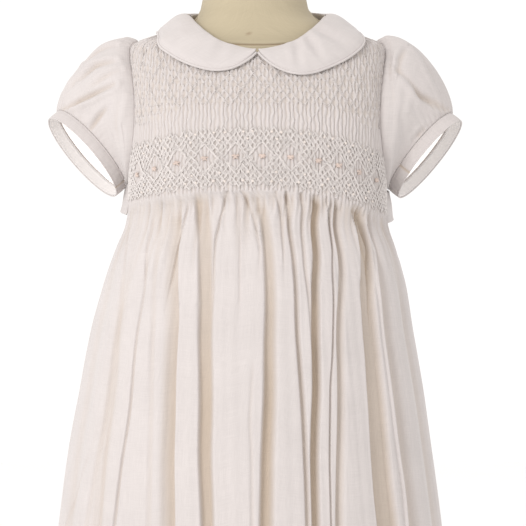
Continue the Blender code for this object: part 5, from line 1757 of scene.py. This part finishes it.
def build_loop_cloth(side):
    """Bow loop: the closed band, creased where the knot gathers it."""
    fine = np.linspace(0, len(BOW_LOOP) - 1, LOOP_ROWS)
    along, out, half = [smooth_path(column, fine) for column in zip(*BOW_LOOP)]
    step = np.gradient(np.stack([along, out], axis=1), axis=0)
    normal = unit(np.stack([step[:, 1], -step[:, 0]], axis=1))
    droop = math.radians(BOW_DROOP)
    near = np.exp(-np.clip(along - 11, 0, None) / 16)
    rows = []
    for k, place in enumerate(fine):
        ripple = 0.9 * near[k] * np.sin(ACROSS * 8.5 + 0.6) + 0.25 * np.sin(ACROSS * 3 + place)
        a = along[k] + normal[k, 0] * (CLOTH / 2 + ripple)
        o = out[k] + normal[k, 1] * (CLOTH / 2 + ripple)
        h = ACROSS * half[k]
        rows.append(np.stack([side * (a * math.cos(droop) + h * math.sin(droop)), back_y() + o,
                              KNOT_Z - a * math.sin(droop) + h * math.cos(droop)], axis=1))
    dress_piece(f"bow_loop_{HAND[side]}", np.array(rows), turn_over=side > 0)


def build_knot_cloth():
    """Knot of the bow, wrapped with creases that run round it."""
    count, rings = KNOT_GRID
    around = full_turn(count)
    grid = []
    for level in np.radians(np.linspace(-82, 82, rings)):
        crease = half_wave(7 * around + 0.8 * math.sin(level * 3))
        wide = math.cos(level) ** 0.6 * (1 - 0.045 * crease)
        x, y = [size * np.sign(way) * np.abs(way) ** 0.7 * wide
                for size, way in zip(KNOT_SIZE, (np.cos(around), np.sin(around)))]
        z = KNOT_SIZE[2] * math.sin(level) * np.ones(count)
        grid.append(np.stack([x, back_y() + KNOT_OUT + y, KNOT_Z + z], axis=1))
    riding(solid_rings("bow_knot_cloth", np.array(grid), DRESS), "dress_cloth", "bow_knot")


for which_side in (-1, 1):
    build_sash_cloth(which_side)
    build_loop_cloth(which_side)
build_tail_cloth("left", TAIL_LEFT, TAIL_SLANT)
build_tail_cloth("right", TAIL_RIGHT, -TAIL_SLANT)
build_knot_cloth()


# ---- dress form and stand -------------------------------------------------
NECK_SEAM_U = 742.0        # row of the bust that runs along the neck seam
NECK_SEAM_FRONT_Z, NECK_SEAM_RISE = 731.5, 44.0
BUST_TOP = 812.0
# Rows of the bust: from and to, and the step between them.
BUST_ROWS = [(345, 728, 4.0), (728, 739.5, 0.8), (739.5, 744.5, 0.3), (744.5, 765, 1.0),
             (765, BUST_TOP, 3.0)]
PIN_HOLE = (-7.5, 741.0)   # (x, z)
POLE = [(10.5, 18.3), (12, 19), (12, 30), (11.6, 31), (12, 32), (12, 180), (12, 330),
        (11.6, 331), (12, 332), (12, 344), (10.5, 344.7)]      # (radius, height)
BASE = [(30, 0), (137, 0), (138.6, 0.6), (139.7, 1.8), (140, 3), (140, 11.4), (139.4, 12),
        (138.4, 12.6), (138.2, 13.4), (138.6, 14.4), (138, 16), (136.6, 17.3), (134, 18),
        (60, 18), (22, 18), (14, 18)]
NECK_CAP = [(0.93, SEAM), (0.98, 0.5), (1.0, 1.6), (1.0, 2.4), (0.985, 3.4), (0.95, 4.4),
            (0.945, 4.9), (0.95, 5.3), (0.93, 6.6), (0.88, 7.8), (0.78, 9.0), (0.62, 10.1),
            (0.42, 10.8), (0.2, 11.0), (0.06, 11.0)]           # (share of the neck, rise)


def build_form_bust():
    """Body of the form in linen, with a sewn seam round the foot of its neck."""
    u = np.concatenate([np.arange(*rows) for rows in BUST_ROWS] + [[BUST_TOP]])
    angle = np.arange(BUST_COLUMNS) * 360 / BUST_COLUMNS
    seam_z = (NECK_SEAM_FRONT_Z
              + NECK_SEAM_RISE * (1 - np.exp(np.cos(np.radians(angle)) - 1)))
    off = u - NECK_SEAM_U
    bend = bell(off / 25.0) * clamp((BUST_TOP - u) / 20)
    z = u[:, None] + bend[:, None] * (seam_z - NECK_SEAM_U)[None]
    points = np.stack([on_sections(FORM, angle, row) for row in z])
    welt = -0.55 * bell(off / 0.45) + 0.28 * bell((np.abs(off) - 1.5) / 0.8)
    points = points - grid_normals(points, closed=True) * welt[:, None, None]
    pin_hole = np.exp(-((points[..., 0] - PIN_HOLE[0]) ** 2
                        + (points[..., 2] - PIN_HOLE[1]) ** 2) / 1.1)
    fold = bell(off / 0.5)[:, None] + pin_hole * (points[..., 1] < 0)
    return solid_rings("form_bust_linen", points, LINEN, fold)


def turned(name, profile, count):
    """Solid turned round the upright axis from (radius, height) pairs."""
    rings = [[(r * math.cos(t), r * math.sin(t), z) for t in full_turn(count)] for r, z in profile]
    return solid_rings(name, np.array(rings), WOOD)


def build_neck_cap():
    """Turned cap that closes the form's neck."""
    ring = on_sections(FORM, np.arange(STAND_COLUMNS) * (360 / STAND_COLUMNS), float(FORM[-1].z))
    centre = np.array([FORM[-1].centre_x, 0.0, 0.0])
    return solid_rings("form_neck_cap_wood", np.array(
        [centre * (1 - share) + ring * (share, share, 1) + (0, 0, rise)
         for share, rise in NECK_CAP]), WOOD)


BUTTON_RIM = [(4.2, 0.0), (4.8, 0.25), (5.0, 0.8), (5.0, 1.6), (4.85, 2.15), (4.5, 2.4),
              (4.1, 2.38)]             # (radius, height)
BUTTON_DISH = 1.85                     # height of the sunk middle
HOLE = 0.95                            # each hole's distance from the middle lines
SEWING, BUTTONHOLE = 0.16, ((1.1, 0.32), (0.45, 0.28))     # radius; half widths and radii
BUTTON_HEIGHTS = (722, 682, 642)


def build_button(name, z):
    """Round shell button with a rim and four holes, sewn on through its buttonhole."""
    def back_at(out):
        return body_point(np.array([180.0]), np.array([float(z)]), out)[0]

    centre = back_at(CLOTH * 2 + SEAM * 3)
    axis = unit(back_at(CLOTH * 2 + SEAM * 3 + 1.0) - centre)
    across = np.array([1.0, 0, 0])
    axes = (across, np.cross(axis, across), axis)
    turn = full_turn(BUTTON_COLUMNS)
    rings = [from_axes(centre, axes, r * np.cos(turn), r * np.sin(turn), h + 0 * turn)
             for r, h in BUTTON_RIM]
    for r in np.linspace(3.85, 0.05, 26):
        x, y = r * np.cos(turn), r * np.sin(turn)
        height = BUTTON_DISH + 0.5 * clamp((r - 3.3) / 0.55) ** 2
        for hx, hy in ((-HOLE, -HOLE), (-HOLE, HOLE), (HOLE, -HOLE), (HOLE, HOLE)):
            height = height - 1.1 * bell(((x - hx) ** 2 + (y - hy) ** 2) / 0.2)
        rings.append(from_axes(centre, axes, x, y, height))
    riding(solid_rings(f"{name}_shell", np.array(rings), PEARL), "button_shell", name)
    bundle = Bundle()
    t = np.linspace(-1, 1, 9)
    for y in (-HOLE, HOLE):
        for strand in (-SEWING, SEWING):
            bundle.add(*tube_along(from_axes(centre, axes, t * HOLE, y + strand + 0 * t,
                                             2.15 - 0.75 * np.abs(t) ** 4), SEWING, 6))
    t = full_turn(36)
    slit = back_at(CLOTH * 2 + SEAM * 1.2)
    for width, thick in BUTTONHOLE:
        path = from_axes(slit, axes, 2.2 + 4.6 * np.cos(t), width * np.sin(t))
        bundle.add(*tube_along(path, thick, 6, closed=True))
    riding(bundle.make(f"{name}_thread", THREAD_WITH_HIGHLIGHT), "dress_cloth")


riding(build_form_bust(), "form_linen", "form_bust")
riding(build_neck_cap(), "stand_wood", "form_neck_cap")
riding(turned("form_pole_wood", POLE, STAND_COLUMNS), "stand_wood", "form_pole")
riding(turned("form_base_wood", BASE, BASE_COLUMNS), "stand_wood", "form_base")
for which_button, button_z in enumerate(BUTTON_HEIGHTS):
    build_button(f"button_{which_button + 1}", button_z)


# ---- armhole seams, and the fields of a cut of the cloth ------------------
ARMHOLE_WELT = 0.75        # radius of the seam between sleeve and bodice


def build_armhole_welt(sleeve):
    """The sewn edge that shows round the armhole, between the sleeve and the bodice."""
    first, second = sleeve_surface(sleeve, full_turn(WELT_COLUMNS), np.array([0.0, 0.01]))
    bundle = Bundle()
    bundle.add(*tube_along(first + unit(first - second) * 0.35, ARMHOLE_WELT, 8, closed=True))
    riding(bundle.make(f"armhole_welt_{HAND[sleeve.side]}", DRESS), "dress_cloth")


for one_sleeve in SLEEVES:
    build_armhole_welt(one_sleeve)
# Flat width and length, and area where the cut isn't a rectangle, all in metres.
Cut = namedtuple("Cut", "piece width length area held rests_on with_pieces")


# ---- floor and light ------------------------------------------------------
def build_stage():
    """A plain pale floor."""
    mesh = bpy.data.meshes.new("floor")
    radius, count = 2.6, 96
    ring = [(radius * math.cos(t), radius * math.sin(t), 0.0) for t in full_turn(count)]
    mesh.from_pydata(ring, [], [tuple(range(count))])
    made, tree, shader = new_material("pale_floor")
    grain = linked(tree, "TexNoise", {"Scale": 40.0, "Detail": 2.0})
    feed(tree, shader, {"Base Color": between(tree, grain, 0.0, 1.0, 0.93, 0.95),
                        "Roughness": 0.9})
    mesh.materials.append(made)
    placed("floor", mesh)


def add_light(name, place, aim, size, power):
    """A round lamp that faces a place; metres and watts."""
    data = bpy.data.lights.new(name, "AREA")
    data.shape = "DISK"
    data.size = size
    data.energy = power
    lamp = placed(name, data)
    lamp.location = place
    way = np.array(aim, float) - np.array(place, float)
    yaw = math.atan2(way[1], way[0]) - math.pi / 2
    tilt = math.atan2(math.hypot(way[0], way[1]), -way[2])
    lamp.rotation_euler = (tilt, 0, yaw)


build_stage()
world = bpy.data.worlds.new("studio")
bpy.context.scene.world = world
world.use_nodes = True
sky = world.node_tree.nodes["Background"]
sky.inputs["Color"].default_value = (1.0, 0.985, 0.975, 1)
sky.inputs["Strength"].default_value = 1.06
add_light("key", (-1.28, -1.85, 1.3), (0, 0, 0.55), 0.9, 24.5)
bpy.context.scene.view_settings.view_transform = "Standard"
